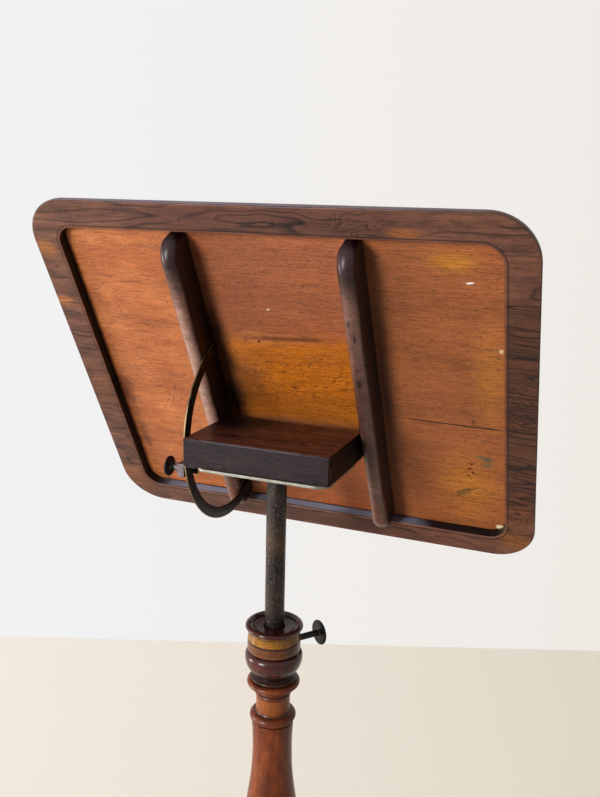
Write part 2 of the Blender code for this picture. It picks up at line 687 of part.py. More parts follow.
def collar(stand):
    """Turned cap with a dished top, a worn straight band and a torus, bored for the rod."""
    bore = ROD_R + BORE_PLAY
    mouth = ROD_R + BORE_MOUTH_PLAY
    dish = RIM_Z - DISH_DEPTH
    rim_depth = RIM_H / 2
    tenon_top = COLLAR_FOOT_Z + TENON_L
    profile = [(bore, tenon_top), (bore, dish - BORE_MOUTH_PLAY), (mouth, dish),
               (RIM_R - rim_depth - rim_depth, dish + GAP)]
    profile += [(RIM_R - rim_depth - GAP, RIM_Z - GAP)]
    profile += bead(RIM_R, RIM_Z - rim_depth, RIM_H, rim_depth)
    groove = (RIM_Z - RIM_H + BAND_BOTTOM_Z) / 2
    profile += [(BAND_R, RIM_Z - RIM_H - GAP), (BAND_R, groove + BAND_GROOVE), (BAND_R - BAND_GROOVE, groove),
                (BAND_R, groove - BAND_GROOVE), (BAND_R, BAND_BOTTOM_Z)]
    profile += arc(TORUS_R - TORUS_H / 2, TORUS_Z, TORUS_H / 2, TORUS_H / 2, 60, 0, 5)
    profile += [(TORUS_R * wide, TORUS_Z - COLLAR_FOOT_DROP * down) for wide, down in COLLAR_UNDER_SHARES]
    profile += [(COLLAR_FOOT_R, COLLAR_FOOT_Z), (SOCKET_R, COLLAR_FOOT_Z), (SOCKET_R, tenon_top), (bore, tenon_top)]
    cap = turned("collar", profile, stand)
    nut_axis = (0, math.pi / 2, math.radians(COLUMN_SCREW_DEG))
    hole = cylinder("collar_hole", NUT_BUSH_R + GAP, BAND_R + OVERRUN, stand, (0, 0, COLUMN_SCREW_Z), nut_axis)
    cut(cap, hole)
    dress(cap, "rosewood")
    out = Vector((math.cos(math.radians(COLUMN_SCREW_DEG)), math.sin(math.radians(COLUMN_SCREW_DEG)), 0))
    start = bore + GAP + GAP
    foot = out * start + Vector((0, 0, COLUMN_SCREW_Z))
    bush = cylinder("collar_nut", NUT_BUSH_R, BAND_R - GAP - start, stand, foot, nut_axis)
    thread = cylinder("collar_nut_bore", COLUMN_SCREW_R + GAP, BAND_R + OVERRUN, stand, (0, 0, COLUMN_SCREW_Z),
                      nut_axis)
    cut(bush, thread)
    dress(bush, "iron")


def column_screw(stand):
    """Disc-headed thumbscrew through the collar on to the rod."""
    tip = ROD_R + GAP
    disc = COLUMN_SCREW_REACH - tip
    top = disc + COLUMN_DISC_T
    profile = [(0, top), (COLUMN_SCREW_R, top)]
    profile += bead(COLUMN_DISC_R, disc + COLUMN_DISC_T / 2, COLUMN_DISC_T, COLUMN_DISC_T / 2, 4)
    profile += [(COLUMN_SCREW_R, disc), (COLUMN_SCREW_R, 0), (0, 0)]
    turn = math.radians(COLUMN_SCREW_DEG)
    place = (tip * math.cos(turn), tip * math.sin(turn), COLUMN_SCREW_Z)
    screw_piece = turned("column_screw", profile, stand, place, (0, math.pi / 2, turn), steps=MIDDLE_STEPS)
    dress(screw_piece, "iron")


def column(stand):
    """Turned column, bored for the rod from above and for the base bolt from below."""
    bore = ROD_R + BORE_PLAY
    tenon_top = COLLAR_FOOT_Z + TENON_L - GAP
    seat = COLLAR_FOOT_Z - GAP
    tenon_r = SOCKET_R - GAP
    foot = PLATFORM_TOP_Z + GAP
    tenon_bottom = FOOT_H + GAP + BASE_WASHER_T + BOLT_HEAD_H + GAP + GAP
    profile = [(0, ROD_BORE_BOTTOM_Z), (bore, ROD_BORE_BOTTOM_Z), (bore, tenon_top), (tenon_r, tenon_top),
               (tenon_r, seat), (COLLAR_FOOT_R, seat)]
    profile += bead(FLANGE_STEP_R, FLANGE_Z + FLANGE_H / 2, FLANGE_H / 3, FLANGE_STEP_R - COLLAR_FOOT_R, 4)
    profile += bead(FLANGE_R, FLANGE_Z, FLANGE_H * 2 / 3, FLANGE_R - FLANGE_STEP_R, 6)
    profile += arc(FLANGE_STEP_R, NECK_BEAD_Z + NECK_BEAD_H / 2, FLANGE_STEP_R - NECK_R,
                   FLANGE_Z - FLANGE_H / 3 - NECK_BEAD_Z - NECK_BEAD_H / 2, 90, 180, 4)[1:]
    profile += bead(NECK_BEAD_R, NECK_BEAD_Z, NECK_BEAD_H, NECK_BEAD_R - NECK_R, 4)[1:]
    profile += [(NECK_R, RING_Z + RING_H / 2 + GAP)]
    profile += bead(RING_R, RING_Z, RING_H, RING_H / 2)
    profile += swelling(VASE_SHARES, VASE_R, VASE_TOP_Z, VASE_FOOT_Z)
    profile += bead(LOWER_RING_R, LOWER_RING_Z, LOWER_RING_H, LOWER_RING_H / 2)
    profile += swelling(STEM_SHARES, STEM_R, STEM_TOP_Z, STEM_FOOT_Z)
    profile += bead(FOOT_RING_R, foot + FOOT_RING_H / 2, FOOT_RING_H, FOOT_RING_H / 2)
    profile += [(COLUMN_TENON_R, foot), (COLUMN_TENON_R, tenon_bottom), (BOLT_R + GAP, tenon_bottom),
                (BOLT_R + GAP, BOLT_REACH_Z + GAP), (0, BOLT_REACH_Z + GAP)]
    post = turned("column", profile, stand)
    dress(post, "mahogany_turned")


def base(stand):
    """Round moulded platform on bun feet, held to the column by a bolt and washer."""
    bottom = FOOT_H + GAP
    top = bottom + PLATFORM_T
    recess_top = bottom + BOLT_HEAD_H + BASE_WASHER_T + GAP
    inner = PLATFORM_R - PLATFORM_STEP
    edge_top = bottom + PLATFORM_COVE + PLATFORM_EDGE_H
    step_z = top - PLATFORM_STEP_H
    hole = COLUMN_TENON_R + GAP
    washer_recess = BASE_WASHER_R + GAP
    profile = [(hole, recess_top), (hole, top), (inner, top), (inner, step_z)]
    profile += arc(inner + PLATFORM_STEP_H, edge_top, PLATFORM_R - inner - PLATFORM_STEP_H, step_z - edge_top,
                   90, 0, 5)
    profile += arc(PLATFORM_R, bottom, PLATFORM_COVE, PLATFORM_COVE, 90, 180, 4)
    profile += [(washer_recess, bottom), (washer_recess, recess_top), (hole, recess_top)]
    platform = turned("platform", profile, stand, steps=WIDE_STEPS)
    mortises = []
    for number in range(FOOT_COUNT):
        around = TAU * number / FOOT_COUNT - math.pi / 2
        place = (FOOT_CIRCLE_R * math.cos(around), FOOT_CIRCLE_R * math.sin(around), 0)
        outline = [(0, FOOT_H + DOWEL_L), (DOWEL_R, FOOT_H + DOWEL_L), (DOWEL_R, FOOT_H)]
        outline += swelling([(wide, 1 - high) for wide, high in FOOT_SHARES], FOOT_R, FOOT_H, 0)
        outline += [(FOOT_PAD_R, 0), (0, 0)]
        foot = turned(f"foot_{number + 1}", outline, stand, place, steps=MIDDLE_STEPS)
        dress(foot, "mahogany_turned")
        mortises.append(cylinder(f"foot_{number + 1}_mortise", DOWEL_R + GAP, DOWEL_L + OVERRUN, stand,
                                 (place[0], place[1], FOOT_H + GAP + GAP - OVERRUN), steps=MIDDLE_STEPS))
    cut(platform, *mortises)
    dress(platform, "mahogany_turned")
    washer_z = recess_top - GAP - BASE_WASHER_T
    washer = cylinder("base_washer", BASE_WASHER_R, BASE_WASHER_T, stand, (0, 0, washer_z), steps=STEPS)
    washer_bore = cylinder("base_washer_bore", BOLT_R + GAP, BASE_WASHER_T + OVERRUN + OVERRUN, stand,
                           (0, 0, washer_z - OVERRUN), steps=MIDDLE_STEPS)
    cut(washer, washer_bore)
    dress(washer, "iron")
    head_top = washer_z - GAP
    head_bottom = head_top - BOLT_HEAD_H + GAP + GAP
    bolt = turned("base_bolt", [(0, BOLT_REACH_Z), (BOLT_R, BOLT_REACH_Z), (BOLT_R, head_top),
                                (BOLT_HEAD_R, head_top), (BOLT_HEAD_R, head_bottom), (0, head_bottom)], stand,
                  steps=MIDDLE_STEPS)
    dress(bolt, "iron")


def build_top(top, bores):
    """Panel, frame, veneer, ledge, battens and arc, all tilting together."""
    sink = FACE_W - VENEER_T - GAP - GAP
    panel_holes = []
    for name, side in (("left", 1), ("right", -1)):
        holes = [bores[name]]
        for number, height in ((1, -BATTEN_SCREW_BELOW), (2, BATTEN_SCREW_ABOVE)):
            place = (side * BATTEN_MID_U, height, sink)
            made, hole = screw(f"batten_screw_{name}_{number}", "iron", BATTEN_SCREW_HEAD_R, BATTEN_SCREW_R,
                               BATTEN_SCREW_L, top, place)
            holes.append(hole)
            panel_holes.append(hole)
        if side > 0:
            arc_holes = []
            radius = ARC_OUTER_R - ARC_BAND / 2
            for number, around in ((1, -ARC_SCREW_DEG), (2, ARC_SCREW_DEG)):
                angle = math.radians(around)
                place = (BATTEN_INNER_U - GAP - ARC_T, radius * math.sin(angle), -radius * math.cos(angle))
                made, hole = screw(f"arc_screw_{number}", "iron", ARC_SCREW_HEAD_R, ARC_SCREW_R, ARC_SCREW_L,
                                   top, place, (0, -math.pi / 2, 0))
                arc_holes.append(hole)
            holes += arc_holes
            tilt_arc(top, arc_holes)
        batten(f"batten_{name}", side, top, holes)
    panel_and_veneer(top, panel_holes)
    frame_rails(top)
    book_ledge(top)


def build_head(head, bores):
    """Block, plate, clamp and their screws, all turning on the rod's spigot."""
    upward = (math.pi, 0, 0)
    plate_holes = []
    for number, (x, y) in enumerate(((PLATE_LEFT_X - PLATE_SCREW_INSET, BLOCK_FRONT_Y - PLATE_SCREW_INSET),
                                     (PLATE_RIGHT_X + PLATE_SCREW_INSET, BLOCK_FRONT_Y - PLATE_SCREW_INSET),
                                     (PLATE_LEFT_X - PLATE_SCREW_INSET, PLATE_BACK_Y + PLATE_SCREW_INSET),
                                     (PLATE_RIGHT_X + PLATE_SCREW_INSET, PLATE_BACK_Y + PLATE_SCREW_INSET))):
        made, hole = screw(f"plate_screw_{number + 1}", "worn_iron", PLATE_SCREW_HEAD_R, PLATE_SCREW_R,
                           PLATE_SCREW_L, head, (x, y, PLATE_BOTTOM_Z), upward)
        plate_holes.append(hole)
    clamp_holes = []
    cheek_x = (CLAMP_INNER_X + BLOCK_HALF_L) / 2
    for number, share in ((1, 0.25), (2, 0.75)):
        y = CLAMP_BACK_Y + (CLAMP_FRONT_Y - CLAMP_BACK_Y) * share
        made, hole = screw(f"clamp_screw_{number}", "worn_iron", CLAMP_SCREW_HEAD_R, CLAMP_SCREW_R,
                           CLAMP_SCREW_L, head, (cheek_x, y, CLAMP_TOP_Z - CLAMP_FOOT_T), upward)
        clamp_holes.append(hole)
    pocket_r = SWIVEL_NUT_R + POCKET_PLAY
    pocket_h = GAP + SWIVEL_NUT_T + SPIGOT_STANDOUT + POCKET_PLAY
    pocket = cylinder("swivel_nut_pocket", pocket_r, pocket_h + OVERRUN, head,
                      (0, 0, BLOCK_BOTTOM_Z - OVERRUN), steps=MIDDLE_STEPS)
    pivot_block(head, [bores["left"], bores["right"], pocket, *plate_holes, *clamp_holes])
    mount_plate(head, plate_holes)
    arc_clamp(head, clamp_holes)
    tilt_screw(head)


def main():
    """Build every body under its own empty."""
    remove_all()
    stand = empty("stand_axis")
    rod = empty("rod_axis", (0, 0, SHOULDER_Z - ROD_L), parent=stand)
    head = empty("head_axis", (0, 0, PIVOT_Z - (SHOULDER_Z - ROD_L)), parent=rod)
    top = empty("tilt_axis", (0, PIVOT_Y, 0), (math.radians(TILT_DEG), 0, 0), head)
    bpy.context.view_layer.update()
    base(stand)
    column(stand)
    collar(stand)
    column_screw(stand)
    rod_and_nut(rod)
    bores = pins_and_washers(top)
    build_head(head, bores)
    build_top(top, bores)


if __name__ == "__main__":
    main()
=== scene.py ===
"""Looks of a tilting reading stand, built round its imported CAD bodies.

A rosewood-framed mahogany board tilts on a thick wooden block, held by a flat iron arc in a clamp. The block turns
on an iron rod that slides in a turned mahogany column. The board's own frame is (u, v, w): u to the left as seen from
the back, v up the slope and w towards the reader, from the hinge axis. Lengths are in metres, but rows of marks are
in millimetres.
"""

import logging
import math
from collections.abc import Callable, Sequence
from dataclasses import dataclass, replace
from enum import Enum
from functools import cache, partial

import bmesh
import bpy
from mathutils import Matrix, Vector


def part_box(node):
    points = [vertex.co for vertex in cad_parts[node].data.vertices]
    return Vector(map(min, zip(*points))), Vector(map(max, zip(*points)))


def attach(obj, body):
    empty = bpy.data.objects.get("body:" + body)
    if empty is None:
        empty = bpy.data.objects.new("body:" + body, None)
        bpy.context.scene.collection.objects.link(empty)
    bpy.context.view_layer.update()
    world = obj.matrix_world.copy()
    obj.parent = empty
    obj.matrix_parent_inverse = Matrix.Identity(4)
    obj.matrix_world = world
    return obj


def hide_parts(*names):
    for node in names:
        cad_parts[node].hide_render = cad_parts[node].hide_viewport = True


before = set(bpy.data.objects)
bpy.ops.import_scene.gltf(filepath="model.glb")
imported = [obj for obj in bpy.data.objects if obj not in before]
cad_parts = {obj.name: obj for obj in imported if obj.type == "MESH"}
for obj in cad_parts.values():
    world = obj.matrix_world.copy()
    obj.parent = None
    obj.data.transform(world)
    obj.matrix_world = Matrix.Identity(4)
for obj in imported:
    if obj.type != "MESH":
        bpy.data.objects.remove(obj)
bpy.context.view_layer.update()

log = logging.getLogger("reading_stand")

Point = tuple[float, float]
Spot = tuple[float, float, float]
Place = Callable[[float, float, float], Vector]
Socket = bpy.types.NodeSocket

PIVOT_Y = -0.0515
PIVOT_Z = 0.980
TILT = math.radians(62.4)
GAP = 0.0003
FACE_W = 0.0229
PANEL_W = 0.0153
FRAME_BACK_W = 0.0039
BOARD_HALF = 0.2646
BOARD_LOW = -0.1576
BOARD_HIGH = 0.2801
RECESS_HALF = 0.2322
RECESS_LOW = -0.1290
RECESS_HIGH = 0.2484
RECESS_AT = (0.0, (RECESS_LOW + RECESS_HIGH) / 2)
RECESS_SIZE = (RECESS_HALF, (RECESS_HIGH - RECESS_LOW) / 2)
BATTEN_IN = 0.0834
BLOCK_TOP = 0.9924
BLOCK_BOTTOM = 0.9618
BLOCK_FRONT = 0.0620
BORE_R = 0.0116
FAR = 9.0
MERGED = 1e-6


class Body(str, Enum):
    """The stand's moving bodies."""

    STAND = "stand"
    LIFT = "lift"
    HEAD = "head"
    TOP = "top"
    COLUMN_SCREW = "column_thumbscrew"
    TILT_SCREW = "tilt_thumbscrew"


class Kind(str, Enum):
    """The shader nodes that the finishes are made of."""

    COORDS = "ShaderNodeTexCoord"
    MAPPING = "ShaderNodeMapping"
    NOISE = "ShaderNodeTexNoise"
    MATH = "ShaderNodeMath"
    VECTOR = "ShaderNodeVectorMath"
    RANGE = "ShaderNodeMapRange"
    MIX = "ShaderNodeMix"
    SPLIT = "ShaderNodeSeparateXYZ"
    ATTRIBUTE = "ShaderNodeAttribute"
    GEOMETRY = "ShaderNodeNewGeometry"
    BUMP = "ShaderNodeBump"
    SURFACE = "ShaderNodeBsdfPrincipled"
    EMISSION = "ShaderNodeEmission"
    CLEAR = "ShaderNodeBsdfTransparent"
    LIGHT_PATH = "ShaderNodeLightPath"
    MIX_SHADER = "ShaderNodeMixShader"
    OUTPUT = "ShaderNodeOutputMaterial"


class Lie(Enum):
    """Which way the grain or the working of a surface runs: the place and turn that bring it to the first axis."""

    BOARD = (0.0, PIVOT_Y, PIVOT_Z, TILT, 0.0, 0.0)
    LENGTHWISE = (0.0, 0.0, PIVOT_Z, 0.0, 0.0, 0.0)
    UPRIGHT = (0.0, 0.0, 0.0, 0.0, -math.pi / 2, 0.0)
    ACROSS = (0.0, 0.0, 0.0, 0.0, 0.0, 0.0)


class Outline(Enum):
    """The shape of a local mark."""

    OVAL = "oval"
    SQUARE = "square"


def linear(colour: str) -> tuple[float, float, float, float]:
    """Turn an sRGB hex colour into linear values.

    Args:
        colour: A colour such as "#8a5230".

    Returns:
        Red, green, blue and an alpha of one.
    """
    parts = [int(colour[start:start + 2], 16) / 255 for start in (1, 3, 5)]
    made = [part / 12.92 if part <= 0.04045 else ((part + 0.055) / 1.055) ** 2.4 for part in parts]
    return made[0], made[1], made[2], 1.0


def add(tree: bpy.types.NodeTree, kind: str, sockets: dict | None = None, **settings: object) -> bpy.types.Node:
    """Add one node with its settings, values and links.

    Args:
        tree: The tree that gets the node.
        kind: The node's type name.
        sockets: Values or output sockets for its inputs, by name or number.
        settings: The node's own properties.

    Returns:
        The new node.
    """
    made = tree.nodes.new(kind.value if isinstance(kind, Enum) else kind)
    for name, value in settings.items():
        setattr(made, name, value)
    for key, value in (sockets or {}).items():
        if isinstance(value, Socket):
            tree.links.new(value, made.inputs[key])
        else:
            made.inputs[key].default_value = value
    return made


@dataclass
class Shader:
    """A node tree, the coordinates of its patterns, and short ways to add nodes."""

    tree: bpy.types.NodeTree
    coords: Socket | None = None

    def math(self, operation: str, *values: float | Socket) -> Socket:
        """The result of an operation on numbers."""
        return add(self.tree, Kind.MATH, dict(enumerate(values)), operation=operation).outputs[0]

    def vector(self, operation: str, *values: Sequence[float] | Socket) -> Socket:
        """The result of an operation on vectors, which is a number for a length."""
        made = add(self.tree, Kind.VECTOR, dict(enumerate(values)), operation=operation)
        return made.outputs["Value" if operation == "LENGTH" else 0]

    def moved(self, values: dict[str, Sequence[float]], kind: str = "POINT") -> "Shader":
        """The same tree, its coordinates moved, turned or scaled."""
        return Shader(self.tree, add(self.tree, Kind.MAPPING, {"Vector": self.coords} | values,
                                     vector_type=kind).outputs[0])

    def drawn_out(self, length: float, thick: float) -> "Shader":
        """The same tree, its coordinates counted in features of a length and a thickness."""
        return self.moved({"Scale": (1 / length, 1 / thick, 1 / thick)})

    def noise(self, scale: float = 1.0, detail: float = 5.0, rough: float = 0.65, bent: float = 0.0) -> Socket:
        """A noise on the coordinates."""
        return add(self.tree, Kind.NOISE, {"Vector": self.coords, "Scale": scale, "Detail": detail,
                                           "Roughness": rough, "Distortion": bent}).outputs["Fac"]

    def span(self, value: Socket, low: float, high: float, least: float = 0.0, most: float = 1.0,
             kind: str = "LINEAR") -> Socket:
        """A number brought from one range to another and held at its ends."""
        return add(self.tree, Kind.RANGE, {"Value": value, "From Min": low, "From Max": high, "To Min": least,
                                           "To Max": most}, interpolation_type=kind).outputs[0]

    def cloud(self, length: float, thick: float, low: float, high: float, most: float = 1.0,
              detail: float = 4.0) -> Socket:
        """A noise drawn out along the first axis and cut between two levels, from none to the most."""
        return self.span(self.drawn_out(length, thick).noise(1.0, detail, 0.6), low, high, 0.0, most)

    def mix(self, share: Socket, under: Socket | Sequence[float], over: str) -> Socket:
        """A colour laid over another one by a share."""
        return add(self.tree, Kind.MIX, {0: share, 6: under, 7: linear(over)}, data_type="RGBA").outputs[2]


def blank(name: str) -> tuple[bpy.types.Material, bpy.types.NodeTree]:
    """Make a material with an empty tree.

    Args:
        name: The material's name.

    Returns:
        The material and its tree.
    """
    made = bpy.data.materials.new(name)
    made.use_nodes = True
    made.node_tree.nodes.clear()
    return made, made.node_tree


@dataclass(frozen=True)
class Mark:
    """A local stain, wear patch, crack, zone, painted shade, painted highlight or painted reflection on a finish, by
    its place and half size along its coordinates.
    """

    at: tuple[float, ...]
    size: tuple[float, ...]
    colour: str
    strength: float = 1.0
    soft: float = 0.5
    ragged: float = 0.25
    turn: float = 0.0
    outline: Outline = Outline.OVAL

    def share(self, shader: Shader) -> Socket:
        """Find how far the mark covers each point.

        Args:
            shader: The finish's shader.

        Returns:
            A socket from 0 outside the mark to its strength inside it.
        """
        at = {"Location": (*self.at, 0.0)[:3]}
        local = shader.moved(at | {"Scale": (*self.size, 50.0)[:3],
                                   "Rotation": (0.0, 0.0, math.radians(self.turn))}, "TEXTURE")
        if self.outline is Outline.OVAL:
            reach = shader.vector("LENGTH", local.coords)
        else:
            split = add(shader.tree, Kind.SPLIT, {0: shader.vector("ABSOLUTE", local.coords)}).outputs
            reach = shader.math("MAXIMUM", shader.math("MAXIMUM", split[0], split[1]), split[2])
        small = [part for part in self.size if part < 1]
        broken = shader.moved(at, "TEXTURE").noise(1.3 * len(small) / sum(small))
        edge = shader.math("MULTIPLY_ADD", broken, self.ragged * 2, reach)
        return shader.span(edge, 1 + self.ragged - self.soft, 1 + self.ragged, self.strength, 0.0, "SMOOTHSTEP")

    def over(self, shader: Shader, under: Socket, by: Socket | None = None) -> Socket:
        """Lay the mark's colour over another colour.

        Args:
            shader: The finish's shader.
            under: The colour below.
            by: A pattern from 0 to 1 that the mark shows, or none for the whole mark.

        Returns:
            The colour with the mark on it.
        """
        share = self.share(shader)
        if by is not None:
            share = shader.math("MULTIPLY", share, by)
        return shader.mix(share, under, self.colour)


@dataclass(frozen=True)
class Rim(Mark):
    """A line along the border of a rounded rectangle: size is its half sizes, and reach from and to the border."""

    corner: float = 0.020
    offset: float = 0.0
    half_width: float = 0.001

    def share(self, shader: Shader) -> Socket:
        """Find how far the line covers each point.

        Args:
            shader: The finish's shader.

        Returns:
            A socket from 0 off the line to its strength on it.
        """
        near = shader.vector("SUBTRACT", shader.coords, (*self.at, 0.0)[:3])
        straight = (self.size[0] - self.corner, self.size[1] - self.corner, FAR)
        past = shader.vector("SUBTRACT", shader.vector("ABSOLUTE", near), straight)
        away = shader.vector("LENGTH", shader.vector("MAXIMUM", past, (0.0, 0.0, 0.0)))
        side = shader.math("ABSOLUTE", shader.math("SUBTRACT", away, self.corner + self.offset))
        uneven = shader.math("MULTIPLY_ADD", shader.noise(160.0, 4.0), self.ragged * self.half_width, side)
        return shader.span(uneven, self.half_width * (1 - self.soft), self.half_width, self.strength, 0.0,
                           "SMOOTHSTEP")


def marks(outline: Outline, *rows: tuple[float | str, ...]) -> tuple[Mark, ...]:
    """Make marks of one outline from rows.

    Args:
        outline: Their outline.
        rows: Place and half size in millimetres, colour, strength, softness and raggedness of the edge, and turn.

    Returns:
        The marks, in the order in which they are laid.
    """
    made = []
    for row in rows:
        count = next(number for number, part in enumerate(row) if isinstance(part, str))
        sizes = tuple(part / 1000 for part in row[:count])
        made.append(Mark(sizes[:count // 2], sizes[count // 2:], *row[count:], outline=outline))
    return tuple(made)


ovals = partial(marks, Outline.OVAL)
squares = partial(marks, Outline.SQUARE)


@dataclass(frozen=True)
class Finish:
    """What every finish has: its name, the record's slot, its lie, gloss, relief and marks."""

    name: str
    slot: str
    lie: Lie
    roughness: float
    relief: float
    marks: tuple[Mark, ...] = ()

    def start(self) -> tuple[bpy.types.Material, Shader]:
        """Make an empty material.

        Returns:
            The material, and its shader with the finish's own coordinates.
        """
        made, tree = blank(self.name)
        seen = Shader(tree, add(tree, Kind.COORDS).outputs["Object"])
        return made, seen.moved({"Location": self.lie.value[:3], "Rotation": self.lie.value[3:]}, "TEXTURE")

    def close(self, shader: Shader, colour: Socket, rough: Socket, height: Socket, **values: float) -> None:
        """Join colour, roughness and relief to the surface and the surface to the output.

        Args:
            shader: The finish's shader.
            colour: The base colour.
            rough: The roughness.
            height: Relief from 0 to 1.
            values: Constant inputs of the surface, with underscores for spaces.
        """
        bump = add(shader.tree, Kind.BUMP, {"Height": height, "Distance": self.relief, "Strength": 0.7})
        inputs = {"Base Color": colour, "Roughness": rough, "Normal": bump.outputs[0]}
        inputs |= {name.replace("_", " "): value for name, value in values.items()}
        add(shader.tree, Kind.OUTPUT, {0: add(shader.tree, Kind.SURFACE, inputs).outputs[0]})


@dataclass(frozen=True)
class Timber(Finish):
    """A sawn or turned hardwood under old polish: ground tone, bright patches, dark growth lines, fibres and pores.

    Real fibres are about 0.1 mm thick, pores 0.3 mm and growth lines 1 mm. All are drawn several times as coarse,
    because at their own size they don't show in the render.
    """

    ground: str = "#8a5230"
    dark: str = "#2e1a14"
    bright: str = "#b06a38"
    line: float = 0.004
    run: float = 0.12
    wander: float = 0.004
    line_depth: float = 0.6
    line_share: Point = (0.35, 0.60)
    lines: float = 14.0
    band_depth: float = 0.35
    bright_share: float = 0.5
    patch: float = 0.05
    fibre_depth: float = 0.35
    pore_depth: float = 0.5
    speck_depth: float = 0.0
    polish: float = 0.25
    gloss: float = 0.14
    shine: float = 0.35
    turned: bool = False
    zones: tuple[Mark, ...] = ()
    rippled: tuple[Mark, ...] = ()
    lined: tuple[Mark, ...] = ()
    pore_tone: str = "#1a0e0a"
    speck_tone: str = "#17100e"
    grime_tone: str = "#1c0f0d"

    def swayed(self, shader: Shader) -> Shader:
        """Let the coordinates sway to and fro across the grain, so that the lines wander.

        Args:
            shader: The finish's shader.

        Returns:
            The same tree with swaying coordinates.
        """
        sway = add(shader.tree, Kind.NOISE, {"Vector": shader.coords, "Scale": 18.0, "Detail": 1.0})
        swing = (self.wander, self.wander * 2, self.wander * 2)
        return Shader(shader.tree, shader.vector("MULTIPLY_ADD", sway.outputs["Color"], swing, shader.coords))

    def rings(self, shader: Shader, length: float, thick: float, count: float) -> Socket:
        """Draw the level lines of a noise, sharp on one side and fading on the other as growth rings are.

        Args:
            shader: The shader, its coordinates swayed.
            length: Length of the noise's features.
            thick: Their thickness.
            count: Lines from its lowest to its highest level.

        Returns:
            A socket from 0 between lines to 1 on a line.
        """
        swell = shader.drawn_out(length, thick).noise(1.0, 1.2, 0.35, 0.1)
        ring = shader.math("FRACT", shader.math("MULTIPLY", swell, count))
        return shader.math("MAXIMUM", shader.span(ring, 0.0, 0.30, 1.0, 0.0), shader.span(ring, 0.90, 1.0))

    def growth(self, shader: Shader, colour: Socket) -> Socket:
        """Lay dark bands and growth lines over a colour.

        Args:
            shader: The finish's shader.
            colour: The colour below.

        Returns:
            The colour with its figure.
        """
        swayed = self.swayed(shader)
        band = swayed.cloud(self.run, self.line * 2.5, 0.45, 0.68, self.band_depth)
        line = self.rings(swayed, self.run, self.line * 9, self.lines)
        strong = shader.cloud(self.run, self.line * 7, *self.line_share, self.line_depth, 1.0)
        for mark in self.lined:
            strong = shader.math("MAXIMUM", strong, mark.share(shader))
        return shader.mix(shader.math("MULTIPLY", line, strong), shader.mix(band, colour, self.dark), self.dark)

    def build(self) -> bpy.types.Material:
        """Build the finish.

        Returns:
            Its material.
        """
        made, shader = self.start()
        cover = shader.cloud(self.patch * 2.2, self.patch, 0.40, 0.66, self.bright_share, 6.0)
        colour = shader.mix(cover, linear(self.ground), self.bright)
        for zone in self.zones:
            colour = zone.over(shader, colour)
        colour = self.growth(shader, colour)
        if self.rippled:
            ripple = self.rings(self.swayed(shader), 0.030, 0.020, 16.0)
            for mark in self.rippled:
                colour = mark.over(shader, colour, ripple)
        fibre = shader.cloud(0.026, 0.0012, 0.42, 0.70, self.fibre_depth, 3.0)
        pore = shader.cloud(0.0060, 0.0010, 0.58, 0.68, self.pore_depth, 2.0)
        light = shader.cloud(0.0110, 0.0013, 0.56, 0.74, self.fibre_depth * 0.6, 3.0)
        for share, tone in ((fibre, self.dark), (pore, self.pore_tone), (light, self.bright)):
            colour = shader.mix(share, colour, tone)
        if self.speck_depth:
            speck = shader.cloud(0.0022, 0.0019, 0.66, 0.72, self.speck_depth, 1.0)
            dusty = shader.math("MULTIPLY", speck, shader.cloud(0.050, 0.035, 0.45, 0.60))
            colour = shader.mix(dusty, colour, self.speck_tone)
        for mark in self.marks:
            colour = mark.over(shader, colour)
        if self.turned:
            grime = add(shader.tree, Kind.ATTRIBUTE, attribute_name="grime").outputs["Fac"]
            colour = shader.mix(grime, colour, self.grime_tone)
        rubbed = shader.noise(28.0)
        rough = shader.span(rubbed, 0.3, 0.72, self.roughness - 0.07, self.roughness + 0.14)
        sunk = shader.math("MULTIPLY_ADD", pore, -0.9, fibre)
        self.close(shader, colour, rough, shader.math("MULTIPLY_ADD", rubbed, 1.2, sunk),
                   Specular_IOR_Level=self.shine, Coat_Weight=self.polish, Coat_Roughness=self.gloss)
        return made


@dataclass(frozen=True)
class Metal(Finish):
    """Forged or turned iron or steel: base tone, patina patches, specks, and bare metal on the proud edges.

    The specks are drawn several times as coarse as real pits, so that they show in the render.
    """

    base: str = "#2a2624"
    patina: str = "#4a3a2c"
    bare: str = "#c9b98a"
    patina_share: float = 0.5
    speck: float = 0.0015
    speck_share: float = 0.3
    drawn: float = 1.0
    metallic: float = 1.0
    rim: Point = (0.0, 0.0)
    rim_share: float = 0.6

    def proud(self, shader: Shader) -> Socket:
        """Find how proud a point is: beyond the rim's radius about the first axis, or by the edge values.

        Args:
            shader: The finish's shader.

        Returns:
            A socket from 0 to 1.
        """
        if not self.rim[1]:
            return add(shader.tree, Kind.ATTRIBUTE, attribute_name="edge").outputs["Fac"]
        reach = shader.vector("LENGTH", shader.vector("MULTIPLY", shader.coords, (0.0, 1.0, 1.0)))
        return shader.span(reach, *self.rim, 0.0, self.rim_share)

    def build(self) -> bpy.types.Material:
        """Build the finish.

        Returns:
            Its material.
        """
        made, shader = self.start()
        cloud = shader.moved({"Scale": (60.0 / self.drawn, 60.0, 60.0)}).noise(1.0, 6.0, 0.68)
        colour = shader.mix(shader.span(cloud, 0.42, 0.66, 0.0, self.patina_share), linear(self.base), self.patina)
        spot = shader.cloud(self.speck * self.drawn, self.speck, 0.58, 0.68, self.speck_share, 3.0)
        colour = shader.mix(spot, colour, self.bare)
        for mark in self.marks:
            colour = mark.over(shader, colour)
        broken = shader.span(cloud, 0.34, 0.6, 0.15, 1.0)
        colour = shader.mix(shader.math("MULTIPLY", self.proud(shader), broken), colour, self.bare)
        rough = shader.span(cloud, 0.3, 0.7, self.roughness - 0.08, self.roughness + 0.16)
        self.close(shader, colour, rough, shader.math("ADD", spot, cloud), Metallic=self.metallic)
        return made


